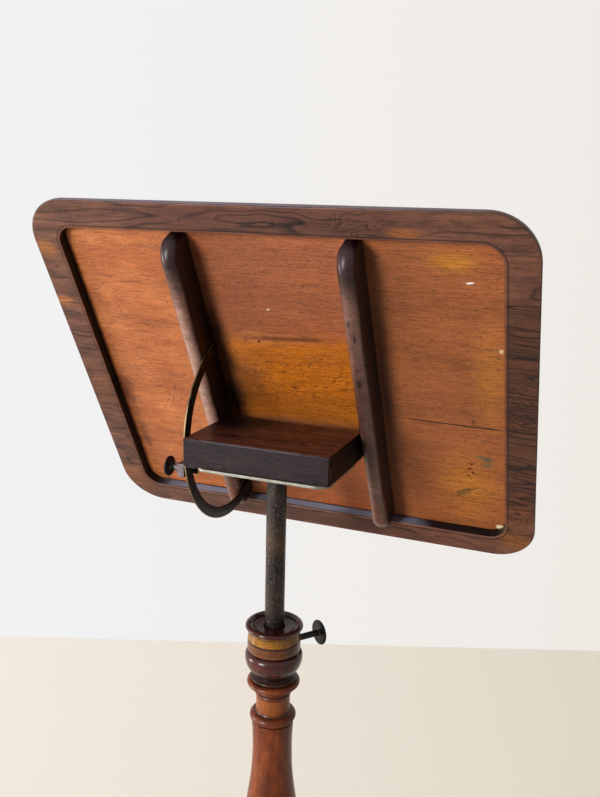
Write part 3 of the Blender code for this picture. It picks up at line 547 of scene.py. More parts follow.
@cache
def material_of(finish: Timber | Metal) -> bpy.types.Material:
    """The material of a finish, built the first time it is asked for."""
    return finish.build()


# Rosewood veneer of the frame: purple-brown with near-black lines and orange patches, so the border reads as figured.
# Its recess walls are painted near black as shade, with a painted bluish reflection on the bottom wall, and painted
# highlight and shadow lines run round the recess.
ROSEWOOD = Timber(
    "rosewood_old_polish", "rosewood", Lie.BOARD, 0.40, 0.00018, ground="#5c3b31", dark="#120a09", bright="#8a5a42",
    line=0.0028, run=0.30, wander=0.006, line_depth=0.80, line_share=(0.42, 0.60), lines=14.0, band_depth=0.40,
    bright_share=0.75, patch=0.016, fibre_depth=0.42, pore_depth=0.5, polish=0.06, shine=0.22,
    zones=squares(
        (0, 264, 200, 20, "#5f3a30", .7)) + ovals(
        (253.6, 222.8, 20, 16, "#a0612c", .8, .8), (256, 156, 16, 10, "#b0703a", .9, .8),
        (-244, 48, 12, 9, "#9a5a30", .8, .9), (248, 30, 20, 50, "#7a4a2c", .5, .8),
        (-142.7, 257.1, 26, 8, "#9a5a2c", .8, .8), (250, -123.8, 30, 30, "#8a5428", .6, .9)) + squares(
        (-250, 60, 24, 180, "#4e2c1c", .7, .4), (0, -144, 200, 14, "#44281f", .6)) + ovals(
        (-248, -80, 20, 40, "#7c4628", .7, .9), (-243, -129, 32, 24, "#8e5424", .8, .9)),
    lined=squares(
        (-250, 60, 30, 180, "#000000", 1, .3, .1)) + ovals(
        (-30, 267, 95, 18, "#000000", 1, .4, .2), (248, -60, 30, 60, "#000000", .9, .5, .2)),
    rippled=ovals(
        (-250, 70, 24, 45, "#0f0806", .85), (-100, 264, 40, 20, "#0f0806", .75),
        (-250, -70, 24, 40, "#0f0806", .7)),
    marks=ovals(
        (80.1, 264, .6, 14, "#1a0f0b", .75, .6, .1), (-18.8, 264, .6, 13, "#1a0f0b", .75, .6, .1)) + squares(
        (-247, 36.2, 20, 1.1, "#050202", 1, .3, .05, 1.2)) + ovals(
        (249, 186.1, 20, .8, "#0c0605", .95, .5, .1), (250, 153, 20, .7, "#0c0605", .9, .5, .1),
        (249, 200.5, 2.8, 1.8, "#241614", .85, .6, .25, -20)) + (
        # Painted highlight and shadow: a lighter line on the recess arris and a dark line just outside it stand for the
        # light and shade of a moulded bead.
        Rim(RECESS_AT, RECESS_SIZE, "#74402c", 0.55, offset=0.0016, half_width=0.0013),
        Rim(RECESS_AT, RECESS_SIZE, "#140a07", 0.85, offset=0.0034, half_width=0.0009)) + squares(
        # Painted shade: the recess walls are coloured near black.
        (0, 59.7, 10.4, 242, 198, 5.6, "#0b0709", .97, .03, .01),
        # Painted reflection: a bluish strip on the bottom recess wall stands for sky mirrored in its gloss.
        (35, -130, 10, 190, 3, 5.2, "#8d92aa", .8, .3)))

# Mahogany panel: warm orange-brown, redder and then golden between the battens where it kept its first polish. The
# battens' cast shadows and a shadow line round its edge are painted on it.
PANEL = Timber(
    "mahogany_panel_worn_polish", "panel_wood", Lie.BOARD, 0.40, 0.00022, ground="#b06232", dark="#34140a",
    bright="#d08048", line=0.011, run=0.30, wander=0.006, line_depth=0.16, band_depth=0.24, bright_share=0.8,
    patch=0.024, fibre_depth=0.48, pore_depth=0.70, speck_depth=0.9, polish=0.06, shine=0.28,
    rippled=squares(
        (0, 58, 90, 56, "#6c3208", .6, .3, .25, -3), (0, 190, 90, 70, "#521e0c", .26, .4),
        (-165, 60, 70, 190, "#5c2a0c", .24, .4), (165, 60, 70, 190, "#7a3a1a", .22, .4)),
    zones=squares(
        (0, 60, 96, 66, "#c46d0e", .95, .3, .2, -3), (0, -75, 96, 78, "#a05428", .85, .4, .2),
        (0, 196, 96, 76, "#9c5733", .92, .22, .16, -3)) + ovals(
        (45, 60, 26, 50, "#a8602a", .8, 1, .5), (-45, 25, 30, 35, "#c8781c", .6, 1, .5),
        (30, 225, 60, 22, "#a05a34", .7, .9, .4), (-45, 170, 30, 40, "#98542e", .6, .9, .4)) + squares(
        (-165, 60, 72, 200, "#9c582c", .85, .08, .02)) + ovals(
        (-183.8, 224.2, 34, 16, "#c8801f", .85, .9), (-215.9, 90, 28, 90, "#bc7628", .75, .9),
        (-190, -60, 50, 78, "#c07824", .8, 1), (-130, -70, 20, 50, "#7e4520", .5, .9),
        (-130, 180, 26, 70, "#844824", .6, .9), (205, 50, 30, 90, "#be7040", .5, 1),
        (125, -70, 20, 50, "#c88450", .6, 1)),
    marks=ovals(
        # Painted shadows: the two #120806 marks beside the left batten and the #2a120a mark beside the right batten are
        # the battens' cast shadows painted on the panel.
        (0, 119, 86, 4.8, "#3e1a0c", .75, 1, .8, -3), (80, 110, 20, 150, "#120806", .85, 1, .5, -4),
        (76, 30, 30, 70, "#120806", .9, 1, .5, -6), (-106, 60, 9, 210, "#2a120a", .75, 1, .5),
        (225, 20, 14, 140, "#4a1e0e", .5, 1, 1.2)) + (
        # Painted shade: a dark line on the panel along the recess border stands for the shadow under the frame's edge.
        Rim(RECESS_AT, RECESS_SIZE, "#1c0c06", 0.85, half_width=0.0019, ragged=0.4),) + squares(
        (-178, 26.2, 56, .9, "#0a0403", 1, .3, .1, .9)) + ovals(
        (-197.9, 33, 2.8, 4.5, "#3a1a0c", .65, .8, .5),
        (-199.5, 202, 5, 1.2, "#efece6", .95, .5, .25, -8), (-227.5, 127, 3, 3.4, "#d8bb92", .8, .6, .6),
        (-224.8, -122.1, 5.6, 4.4, "#dcc9a2", .95, .4, .6),
        (-206.9, -17.2, 8, 4.6, "#5c5238", .75, .6, 1, 20),
        (-213.2, -19.5, 7, 6, "#4f4a36", .8, .6, 1, -30), (-211.2, -28, 6.6, 4.2, "#5c5238", .75, .6, 1),
        (-194.5, -28.4, 3.2, 1.9, "#5c1a0c", .9, .5, .6, 50),
        (-192.5, -35.9, 4.2, 2.4, "#641e0e", .9, .5, .6, -35),
        (-196.5, -41.2, 3.8, 2.1, "#5c1a0c", .9, .5, .6, 60),
        (-191.1, -46.9, 4, 2, "#641e0e", .85, .5, .6, 30),
        (-193.7, -50.7, 1.6, 1.2, "#5c1a0c", .85, .5, .6),
        (-188, -70, 17, 4, "#54401c", .75, .7, .9, -27),
        (-181, -78, 15, 3.4, "#54401c", .65, .7, .9, -24)) + squares(
        (-172.7, 76.4, 15, 19, "#96562c", .3, .25, .05, 35)) + ovals(
        (-101, 121, 3.4, 1.8, "#0e0808", .95), (-97, -2.6, 3.4, 1.8, "#0e0808", .95),
        (29.2, 112.9, 2.6, 1.6, "#100807", .95, .5, .25, -40),
        (10.6, 155.7, 2.4, 2, "#d8b8a0", .7, .6, .9), (-2.5, 53.4, 8, 1.6, "#3e1808", .9, .7, .5, 12),
        (-39.5, 58.3, 5, 1.3, "#5a2410", .85, .7, .5), (153.8, 32.9, .9, 8.5, "#4c2010", .9, .7, .3, 18),
        (160, 15, .9, 10, "#4c2010", .8, .7, .3, 22), (143, 10, .8, 7, "#4c2010", .8, .7, .3, 30),
        (224.2, 20, 12, 30, "#4c2218", .7, 1, 1.2), (220, -50, 9, 30, "#4c2218", .5, 1, 1.4),
        (169.2, 178.9, 24, .9, "#4e2012", .85, .7, .3, -2)))

# Veneer leaf on the reading face: evenly figured mahogany kept from wear, so it is redder and glossier than the back.
LEAF = Timber(
    "mahogany_veneer_leaf", "veneer_wood", Lie.BOARD, 0.30, 0.00012, ground="#8a4220", dark="#34140a",
    bright="#b06030", line=0.0065, run=0.34, wander=0.008, line_depth=0.45, bright_share=0.6, patch=0.06,
    fibre_depth=0.40, polish=0.35)

# Battens: dark red stained hardwood whose proud noses have lost their stain, with glossy ends and sides.
BATTEN = Timber(
    "stained_batten_wood", "batten_wood", Lie.BOARD, 0.34, 0.00025, ground="#1c0b0d", dark="#0a0606",
    bright="#301216", line=0.0036, run=0.012, wander=0.004, line_depth=0.35, bright_share=0.5, patch=0.02,
    polish=0.24, gloss=0.26, shine=0.2,
    zones=squares(
        (0, 60, -24, 200, 168, 9.5, "#946a5a", .95, .45, .3),
        (0, -100, -19, 200, 34, 10, "#8a5a48", .8, .6, .3)) + ovals(
        (-92.4, 40, -24, 15, 190, 11, "#482c26", .86, .6, .5),
        (92.4, 70, -24, 15, 150, 10, "#bd9585", .75, .6, .5)) + squares(
        (0, 242, -18, 200, 26, 20, "#40242a", .8, .6, .3)),
    marks=ovals(
        (-84.6, 60, -15, 3, 70, 11, "#35121a", .9, .6, .3),
        (101.2, 60, -12, 1.8, 190, 10, "#241014", .8, .6, .3),
        (92.4, 223, -21.1, 4.5, 4, 6, "#0f1216", .8, .6, .6),
        (95, 212, -21.1, 2.5, 5, 6, "#14110f", .7, .6, .6),
        (92.4, 170, -21.1, 5, 4, 6, "#a5806e", .6, .9, .9),
        (-90, 170, -21.1, 1.8, 6, 6, "#100d0d", .85, .6, .6, 12),
        (-94, 154, -21.1, 2, 6, 6, "#100d0d", .8, .6, .6),
        (-93, 98, -21.1, 3.5, 7, 6, "#161010", .8, .6, .6)) + squares(
        (0, -125, -10, 200, 5, 30, "#8e7468", .5, .8, .5)))

# Block: rosewood with lengthwise grain, brown on top; its front and its end at minus X are painted nearly black as
# shade, with painted shadow, light and highlights on its top.
BLOCK = Timber(
    "rosewood_block", "block_wood", Lie.LENGTHWISE, 0.40, 0.00010, ground="#82503f", dark="#060304", bright="#9c6450",
    line=0.0030, run=0.14, wander=0.003, line_depth=1.0, line_share=(0.2, 0.4), lines=22.0, band_depth=0.85,
    bright_share=0.7, patch=0.012, fibre_depth=0.6, pore_depth=0.7, polish=0.03, shine=0.10,
    zones=squares(
        # Painted shade: the front face is coloured dark.
        (0, 63, -3, 300, 2.2, 30, "#1f181e", .9, .25, .05),
        # Painted shade: the end at minus X is coloured near black.
        (-81.5, 0, 0, 2, 300, 300, "#090608", .98, .3, .05)) + ovals(
        # Painted shadow of the left batten and the arc on the rear left of the top.
        (60, -25, 12.4, 80, 60, 20, "#050203", .97, .8, .3),
        # Painted light: a lighter patch on the right half of the top.
        (-30, 10, 12.4, 60, 30, 20, "#8a5036", .5, 1, .3)),
    marks=squares(
        # Painted highlight: a pale bluish line along the front top edge.
        (0, 61.4, 11.9, 85, 1.1, 1.1, "#827a86", .7, .6, .6),
        # Painted shade: the front face darkened again.
        (0, 64, -3, 300, 3, 30, "#1f181e", .6, .25, .05),
        # Painted shade: the end at minus X darkened again.
        (-81.5, 0, 0, 1.2, 300, 300, "#030202", .9, .3, .05)) + ovals(
        # The pale streak at the end's front corner is wear; the bluish spot on the top's front edge is a painted
        # highlight.
        (-81, 56, -6, 4, 2, 8, "#8a7060", .7, .8, .6), (-50, 56, 12.4, 6, 1, 4, "#3e5068", .6, .8, .6)))

# Column, base and feet: mahogany turned upright and French polished, satin with dark dirt in the grooves; a dark strip
# down the column's +Y side is painted shade.
TURNED = Timber(
    "turned_mahogany", "column_wood", Lie.UPRIGHT, 0.36, 0.00010, ground="#692c10", dark="#240c06", bright="#a04e1c",
    line=0.0050, run=0.50, wander=0.002, line_depth=0.22, lines=8.0, band_depth=0.30, bright_share=0.8, patch=0.014,
    fibre_depth=0.30, pore_depth=0.35, polish=0.14, gloss=0.20, shine=0.2, turned=True,
    zones=squares(
        (672, 0, 0, 11, 9000, 9000, "#a35a24", .75, .3), (706, 0, 0, 4.2, 9000, 9000, "#1a0d0c", .9, .3)) + ovals(
        # Painted shade: a dark strip down the column on its +Y side.
        (500, 40, 6, 300, 30, 16, "#46180a", .85, 1)),
    marks=ovals(
        (646, 20, 12, 1.6, 20, 1.2, "#120a08", .9)))

# Platform: the same mahogany as a flat board, so its figure runs across the top.
PLATFORM = replace(TURNED, name="turned_mahogany_board", lie=Lie.ACROSS, zones=(), marks=(), line_depth=0.30,
                   wander=0.006, patch=0.030)

# Collar: rosewood cap turned across the grain, dark red-brown and glossy, with an ochre worn band; the dark line under
# its rim and the dark foot under its torus are painted shade.
COLLAR = Timber(
    "turned_rosewood_collar", "collar_wood", Lie.ACROSS, 0.22, 0.00010, ground="#40120c", dark="#0c0505",
    bright="#70241a", line=0.0030, run=0.05, wander=0.004, line_depth=0.6, bright_share=0.5, patch=0.010, polish=0.30,
    gloss=0.09, shine=0.22, turned=True,
    zones=squares(
        (0, 0, 758, 9000, 9000, 6.6, "#b5771f", .95, .3, .3),
        # The dark zone at 710 mm is painted shade on the underside below the torus.
        (0, 0, 745, 9000, 9000, 7, "#7a4620", .85, .4, .3), (0, 0, 710, 9000, 9000, 7, "#120a0b", .9, .6)),
    marks=squares(
        # Painted shadow: a dark line under the rim.
        (0, 0, 764.2, 9000, 9000, 1.2, "#0c0605", .95, .6, .3),
        (0, 0, 739.2, 9000, 9000, .9, "#0c0605", .85, .6, .3),
        (0, 0, 761.8, 9000, 9000, .7, "#2a1409", .85, .8, 1.8),
        (0, 0, 752, 9000, 9000, .8, "#2a1409", .9, .8, .9),
        (0, 0, 744.5, 9000, 9000, .6, "#2a1409", .7, .8, 2)) + ovals(
        (0, 0, 766.8, 16, 16, 2, "#3e2018", .6, .6)))

# Blackened iron of arc, clamp screws and discs: near-black with thin pale rims where handling bares it.
BLACK_IRON = Metal(
    "blackened_iron", "black_iron", Lie.LENGTHWISE, 0.42, 0.0002, base="#141317", patina="#221f20", bare="#7d7a76",
    speck_share=0.08, metallic=0.8)

# Slotted screws: turned iron, browned by age.
SCREW_IRON = Metal(
    "browned_screw_iron", "worn_iron", Lie.LENGTHWISE, 0.42, 0.0002, base="#3a342f", patina="#5a4a3c", bare="#a39a88",
    speck_share=0.25, metallic=0.85)

# Tilt arc: blackened strip iron whose outer edge is rubbed to a pale golden steel.
ARC_IRON = Metal(
    "blackened_strip_iron", "black_iron", Lie.BOARD, 0.42, 0.00025, base="#171414", patina="#2e2822", bare="#b39c70",
    patina_share=0.8, speck_share=0.12, metallic=0.8, rim=(0.1089, 0.1093))

# Rod: drawn iron with upright streaks, brown patina and pale specks.
ROD_IRON = Metal(
    "drawn_rod_iron", "worn_iron", Lie.UPRIGHT, 0.36, 0.0003, base="#352d2a", patina="#151112", bare="#9a8c7c",
    patina_share=0.9, speck=0.0011, speck_share=0.45, drawn=2.2, metallic=0.8,
    marks=squares(
        (952.5, 0, 0, 1.2, 9000, 9000, "#9c9170", .7, .8, .8),
        (942, 0, 0, 12, 9000, 9000, "#171311", .6, .8, .6),
        (870, 0, 0, 22, 9000, 9000, "#5c4838", .4, 1, .5)))

# Plate: bright rolled steel gone pale grey-yellow.
PALE_STEEL = Metal(
    "pale_rolled_steel", "pale_steel", Lie.LENGTHWISE, 0.42, 0.00015, base="#84847a", patina="#6a675a",
    bare="#dedccf", patina_share=0.6, speck_share=0.2, metallic=0.6)

# Clamp: grey cast iron between the black screws and the pale plate, its foot under the block painted nearly black as
# shade.
CLAMP_IRON = Metal(
    "grey_cast_iron", "pale_steel", Lie.LENGTHWISE, 0.45, 0.0003, base="#5f575c", patina="#3a3438", bare="#b5a594",
    patina_share=0.7, speck_share=0.25, metallic=0.75,
    marks=squares(
        # Painted shade: the foot under the block is coloured nearly black.
        (72.5, 45, -20, 9.5, 50, 50, "#0f0d0e", .95, .1, .02)) + ovals(
        (96, 46.8, -25.5, 3, 6, 6, "#a07a5c", .6, .8, .5)))


def upright(x: float, y: float, z: float) -> Vector:
    """A point given in the stand's own frame."""
    return Vector((x, y, z))


def lengthwise(y: float, z: float, x: float) -> Vector:
    """A point given as depth, height and way along X."""
    return Vector((x, y, z))


def on_board(u: float, v: float, w: float) -> Vector:
    """A point given in the board's frame, in the stand's own frame."""
    return Vector((u, PIVOT_Y + v * math.cos(TILT) - w * math.sin(TILT),
                   PIVOT_Z + v * math.sin(TILT) + w * math.cos(TILT)))


def arc(middle: Point, radius: Point, start: float, end: float, steps: int = 10) -> list[Point]:
    """Points along an elliptic arc.

    Args:
        middle: Its centre.
        radius: Its two radii.
        start: First angle in degrees.
        end: Last angle in degrees.
        steps: Number of chords.

    Returns:
        The points, ends included.
    """
    turns = [math.radians(start + (end - start) * step / steps) for step in range(steps + 1)]
    return [(middle[0] + radius[0] * math.cos(turn), middle[1] + radius[1] * math.sin(turn)) for turn in turns]


def circle(middle: Point, radius: float) -> list[Point]:
    """A circle of 48 points."""
    return arc(middle, (radius, radius), 0, 352.5, 47)


def rounded(low: Point, high: Point, radius: float, steps: int = 12) -> list[Point]:
    """Counter-clockwise outline of a rectangle with round corners.

    Args:
        low: Lowest corner.
        high: Highest corner.
        radius: Corner radius.
        steps: Chords in each corner.

    Returns:
        The outline's points.
    """
    left, right, below, above = low[0] + radius, high[0] - radius, low[1] + radius, high[1] - radius
    made = []
    for middle, start in (((right, below), -90), ((right, above), 0), ((left, above), 90), ((left, below), 180)):
        made += arc(middle, (radius, radius), start, start + 90, steps)
    return made


def bead(radius: float, middle: float, height: float, depth: float, steps: int = 12) -> list[Point]:
    """Half-round moulding from its upper to its lower edge, in radius and height."""
    return arc((radius - depth, middle), (depth, height / 2), 90, -90, steps)


def through(points: Sequence[Point], steps: int = 8) -> list[Point]:
    """Smooth curve through points.

    Args:
        points: Points on the curve.
        steps: Chords between neighbours.

    Returns:
        The curve's points, ends included.
    """
    line = [points[0], *points, points[-1]]
    made = []
    for first, second, third, fourth in zip(line, line[1:], line[2:], line[3:]):
        for step in range(steps):
            t = step / steps
            made.append(tuple(0.5 * (2 * b + (c - a) * t + (2 * a - 5 * b + 4 * c - d) * t * t
                                     + (3 * b - a - 3 * c + d) * t ** 3)
                              for a, b, c, d in zip(first, second, third, fourth)))
    return [*made, points[-1]]


def skin(shape: bmesh.types.BMesh, rows: Sequence[Sequence[bmesh.types.BMVert]]) -> None:
    """Join each ring of points to the next with faces.

    Args:
        shape: The shape that has the points.
        rows: Rings with the same number of points.
    """
    for lower, upper in zip(rows, rows[1:]):
        for number in range(len(lower)):
            after = (number + 1) % len(lower)
            shape.faces.new((lower[number], lower[after], upper[after], upper[number]))


def loft(rings: Sequence[Sequence[Vector]], capped: bool = True) -> bmesh.types.BMesh:
    """Skin over rings of points.

    Args:
        rings: Rings with the same number of points.
        capped: Whether the first and last ring are closed with a face.

    Returns:
        The skin, its doubles merged and its faces pointing outwards.
    """
    shape = bmesh.new()
    rows = [[shape.verts.new(point) for point in ring] for ring in rings]
    skin(shape, rows)
    if capped:
        shape.faces.new(rows[0][::-1])
        shape.faces.new(rows[-1])
    bmesh.ops.remove_doubles(shape, verts=shape.verts, dist=MERGED)
    bmesh.ops.recalc_face_normals(shape, faces=shape.faces)
    return shape


def prism(outline: Sequence[Point], low: float, high: float, place: Place = upright) -> bmesh.types.BMesh:
    """An outline drawn out between two heights, put in its place."""
    return loft([[place(a, b, height) for a, b in outline] for height in (low, high)])


def with_arrises(profile: Sequence[Point], long: float = 0.0040, margin: float = 0.0012) -> list[Point]:
    """Put a point close to each end of a profile's long stretches, to keep grime and wear near the bends.

    Args:
        profile: Radius and height along the outline.
        long: The shortest long stretch.
        margin: How far the new points are from its ends.

    Returns:
        The profile with the new points.
    """
    made = [profile[0]]
    for first, second in zip(profile, profile[1:]):
        span = math.dist(first, second)
        if span > long and min(first[0], second[0]) > 0:
            made += [tuple(a + (b - a) * share for a, b in zip(first, second))
                     for share in (margin / span, 1 - margin / span)]
        made.append(second)
    return made


def lathe(profile: Sequence[Point], place: Place = upright, steps: int = 96) -> bmesh.types.BMesh:
    """Turn a profile about its axis, with how hollow or proud each row is as grime and edge values.

    Args:
        profile: Radius and height along the outline, starting and ending on the axis or closed on itself.
        place: Puts (side, side, along) in the stand's frame.
        steps: Faces in a full turn.

    Returns:
        The turned shape.
    """
    shape = bmesh.new()
    grime = shape.verts.layers.float.new("grime")
    edge = shape.verts.layers.float.new("edge")
    profile = with_arrises(profile)
    bends = []
    for before, here, after in zip([profile[0], *profile], profile, [*profile[1:], profile[-1]]):
        first = Vector((here[0] - before[0], here[1] - before[1]))
        second = Vector((after[0] - here[0], after[1] - here[1]))
        both = min(first.length, second.length) > 1e-9
        bends.append(first.angle_signed(second) if both else 0.0)
    rows = []
    for radius, height in profile:
        hollow = proud = 0.0
        for other, bend in zip(profile, bends):
            far = math.dist(other, (radius, height))
            hollow += max(0.0, -bend) * math.exp(-(far / 0.0011) ** 2)
            proud += max(0.0, bend) * math.exp(-(far / 0.0009) ** 2)
        row = []
        for step in range(steps):
            turn = math.tau * step / steps
            vert = shape.verts.new(place(radius * math.cos(turn), radius * math.sin(turn), height))
            vert[grime] = min(0.9, hollow * 0.8)
            vert[edge] = min(1.0, proud * 0.5)
            row.append(vert)
        rows.append(row)
    skin(shape, rows)
    bmesh.ops.remove_doubles(shape, verts=shape.verts, dist=MERGED)
    bmesh.ops.dissolve_degenerate(shape, edges=shape.edges, dist=MERGED / 10)
    bmesh.ops.recalc_face_normals(shape, faces=shape.faces)
    return shape


def placed(name: str, data: bpy.types.ID) -> bpy.types.Object:
    """Put something in the scene.

    Args:
        name: The object's name.
        data: Its mesh, light or camera.

    Returns:
        The new object.
    """
    made = bpy.data.objects.new(name, data)
    bpy.context.scene.collection.objects.link(made)
    return made


def mesh_of(name: str, shape: bmesh.types.BMesh) -> bpy.types.Mesh:
    """Turn a shape into a mesh.

    Args:
        name: The mesh's name.
        shape: The shape, which is used up.

    Returns:
        The new mesh.
    """
    mesh = bpy.data.meshes.new(name)
    shape.to_mesh(mesh)
    shape.free()
    return mesh


def join(*shapes: bmesh.types.BMesh) -> bmesh.types.BMesh:
    """Put several closed shapes in one.

    Args:
        shapes: The shapes, which are used up.

    Returns:
        The shape with all of them.
    """
    whole = bmesh.new()
    for shape in shapes:
        mesh = mesh_of("joined", shape)
        whole.from_mesh(mesh)
        bpy.data.meshes.remove(mesh)
    return whole


def plain(obj: bpy.types.Object) -> bpy.types.Object:
    """Turn an object with modifiers into one with a plain mesh.

    Args:
        obj: The object.

    Returns:
        The same object.
    """
    mesh = bpy.data.meshes.new_from_object(obj.evaluated_get(bpy.context.evaluated_depsgraph_get()))
    obj.modifiers.clear()
    obj.data = mesh
    return obj


def smoothed(obj: bpy.types.Object, flattest: float) -> None:
    """Shade an object smooth, but for edges sharper than an angle in degrees."""
    obj.data.shade_smooth()
    obj.data.set_sharp_from_angle(angle=math.radians(flattest))


def solid(name: str, shape: bmesh.types.BMesh, arris: float = 0.0, cuts: Sequence[bmesh.types.BMesh] = (),
          kept: bmesh.types.BMesh | None = None, smooth: float = 34.0) -> bpy.types.Object:
    """Make an object from a shape, cut it, ease its sharp edges and smooth the rest.

    Args:
        name: The piece's name.
        shape: The shape, in the stand's frame.
        arris: Width of the eased edges, or zero to leave them.
        cuts: Shapes taken out of it.
        kept: A shape that the piece is trimmed to.
        smooth: Edges flatter than this many degrees are shaded smooth.

    Returns:
        The object.
    """
    made = placed(name, mesh_of(name, shape))
    tools = [("DIFFERENCE", cut) for cut in cuts] + ([] if kept is None else [("INTERSECT", kept)])
    for operation, tool in tools:
        cutter = placed("tool", mesh_of("tool", tool))
        step = made.modifiers.new("tool", "BOOLEAN")
        step.operation, step.solver, step.object = operation, "EXACT", cutter
        plain(made)
        bpy.data.objects.remove(cutter)
    if arris:
        ease = made.modifiers.new("arris", "BEVEL")
        ease.width, ease.segments, ease.use_clamp_overlap = arris, 3, True
        ease.limit_method, ease.angle_limit = "ANGLE", math.radians(smooth)
        plain(made)
    smoothed(made, smooth)
    made.modifiers.new("weighted_normals", "WEIGHTED_NORMAL").keep_sharp = True
    return plain(made)


def ruled(name: str, inputs: Sequence[str]) -> tuple[bpy.types.GeometryNodeTree, bpy.types.NodeOutputs]:
    """Start a geometry tree for what follows a rule.

    Args:
        name: The tree's name.
        inputs: Names of its sizes.

    Returns:
        The tree, and its inputs' sockets by name.
    """
    tree = bpy.data.node_groups.new(name, "GeometryNodeTree")
    tree.interface.new_socket("Geometry", in_out="INPUT", socket_type="NodeSocketGeometry")
    for label in inputs:
        tree.interface.new_socket(label, in_out="INPUT", socket_type="NodeSocketFloat")
    tree.interface.new_socket("Geometry", in_out="OUTPUT", socket_type="NodeSocketGeometry")
    return tree, add(tree, "NodeGroupInput").outputs


def grown(name: str, mesh: bpy.types.Mesh, shape: bpy.types.Node, finish: Finish,
          values: dict[str, float]) -> bpy.types.Object:
    """Close a geometry tree with real faces and a finish, and run it on a mesh.

    Args:
        name: The piece's name.
        mesh: The mesh that the tree starts from.
        shape: The tree's last node.
        finish: The piece's finish.
        values: The tree's sizes by the names of its inputs.

    Returns:
        The object, with a plain mesh.
    """
    tree = shape.id_data
    real = add(tree, "GeometryNodeRealizeInstances", {0: shape.outputs[0]})
    dressed = add(tree, "GeometryNodeSetMaterial", {"Geometry": real.outputs[0], "Material": material_of(finish)})
    add(tree, "NodeGroupOutput", {0: dressed.outputs[0]})
    made = placed(name, mesh)
    rule = made.modifiers.new(tree.name, "NODES")
    rule.node_group = tree
    for item in tree.interface.items_tree:
        if item.name in values:
            rule[item.identifier] = values[item.name]
    return plain(made)


def coat(obj: bpy.types.Object, finish: Finish) -> None:
    """Give an object a finish as its only material."""
    obj.data.materials.clear()
    obj.data.materials.append(material_of(finish))


def show(made: bpy.types.Object, finish: Finish, body: Body, *nodes: str) -> None:
    """Dress a piece, put it on its body and let it stand for its CAD nodes.

    Args:
        made: The piece.
        finish: Its finish.
        body: The body that it rides on.
        nodes: The CAD nodes that it stands for.
    """
    coat(made, finish)
    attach(made, body.value)
    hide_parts(*nodes)
    log.info("%s on %s: %d faces", made.name, body.value, len(made.data.polygons))


def dress(finish: Finish, *nodes: str) -> None:
    """Give CAD nodes that keep their shape a finish of their own.

    Args:
        finish: The finish.
        nodes: The CAD nodes.
    """
    for node in nodes:
        coat(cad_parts[node], finish)
        log.info("%s keeps its CAD shape", node)


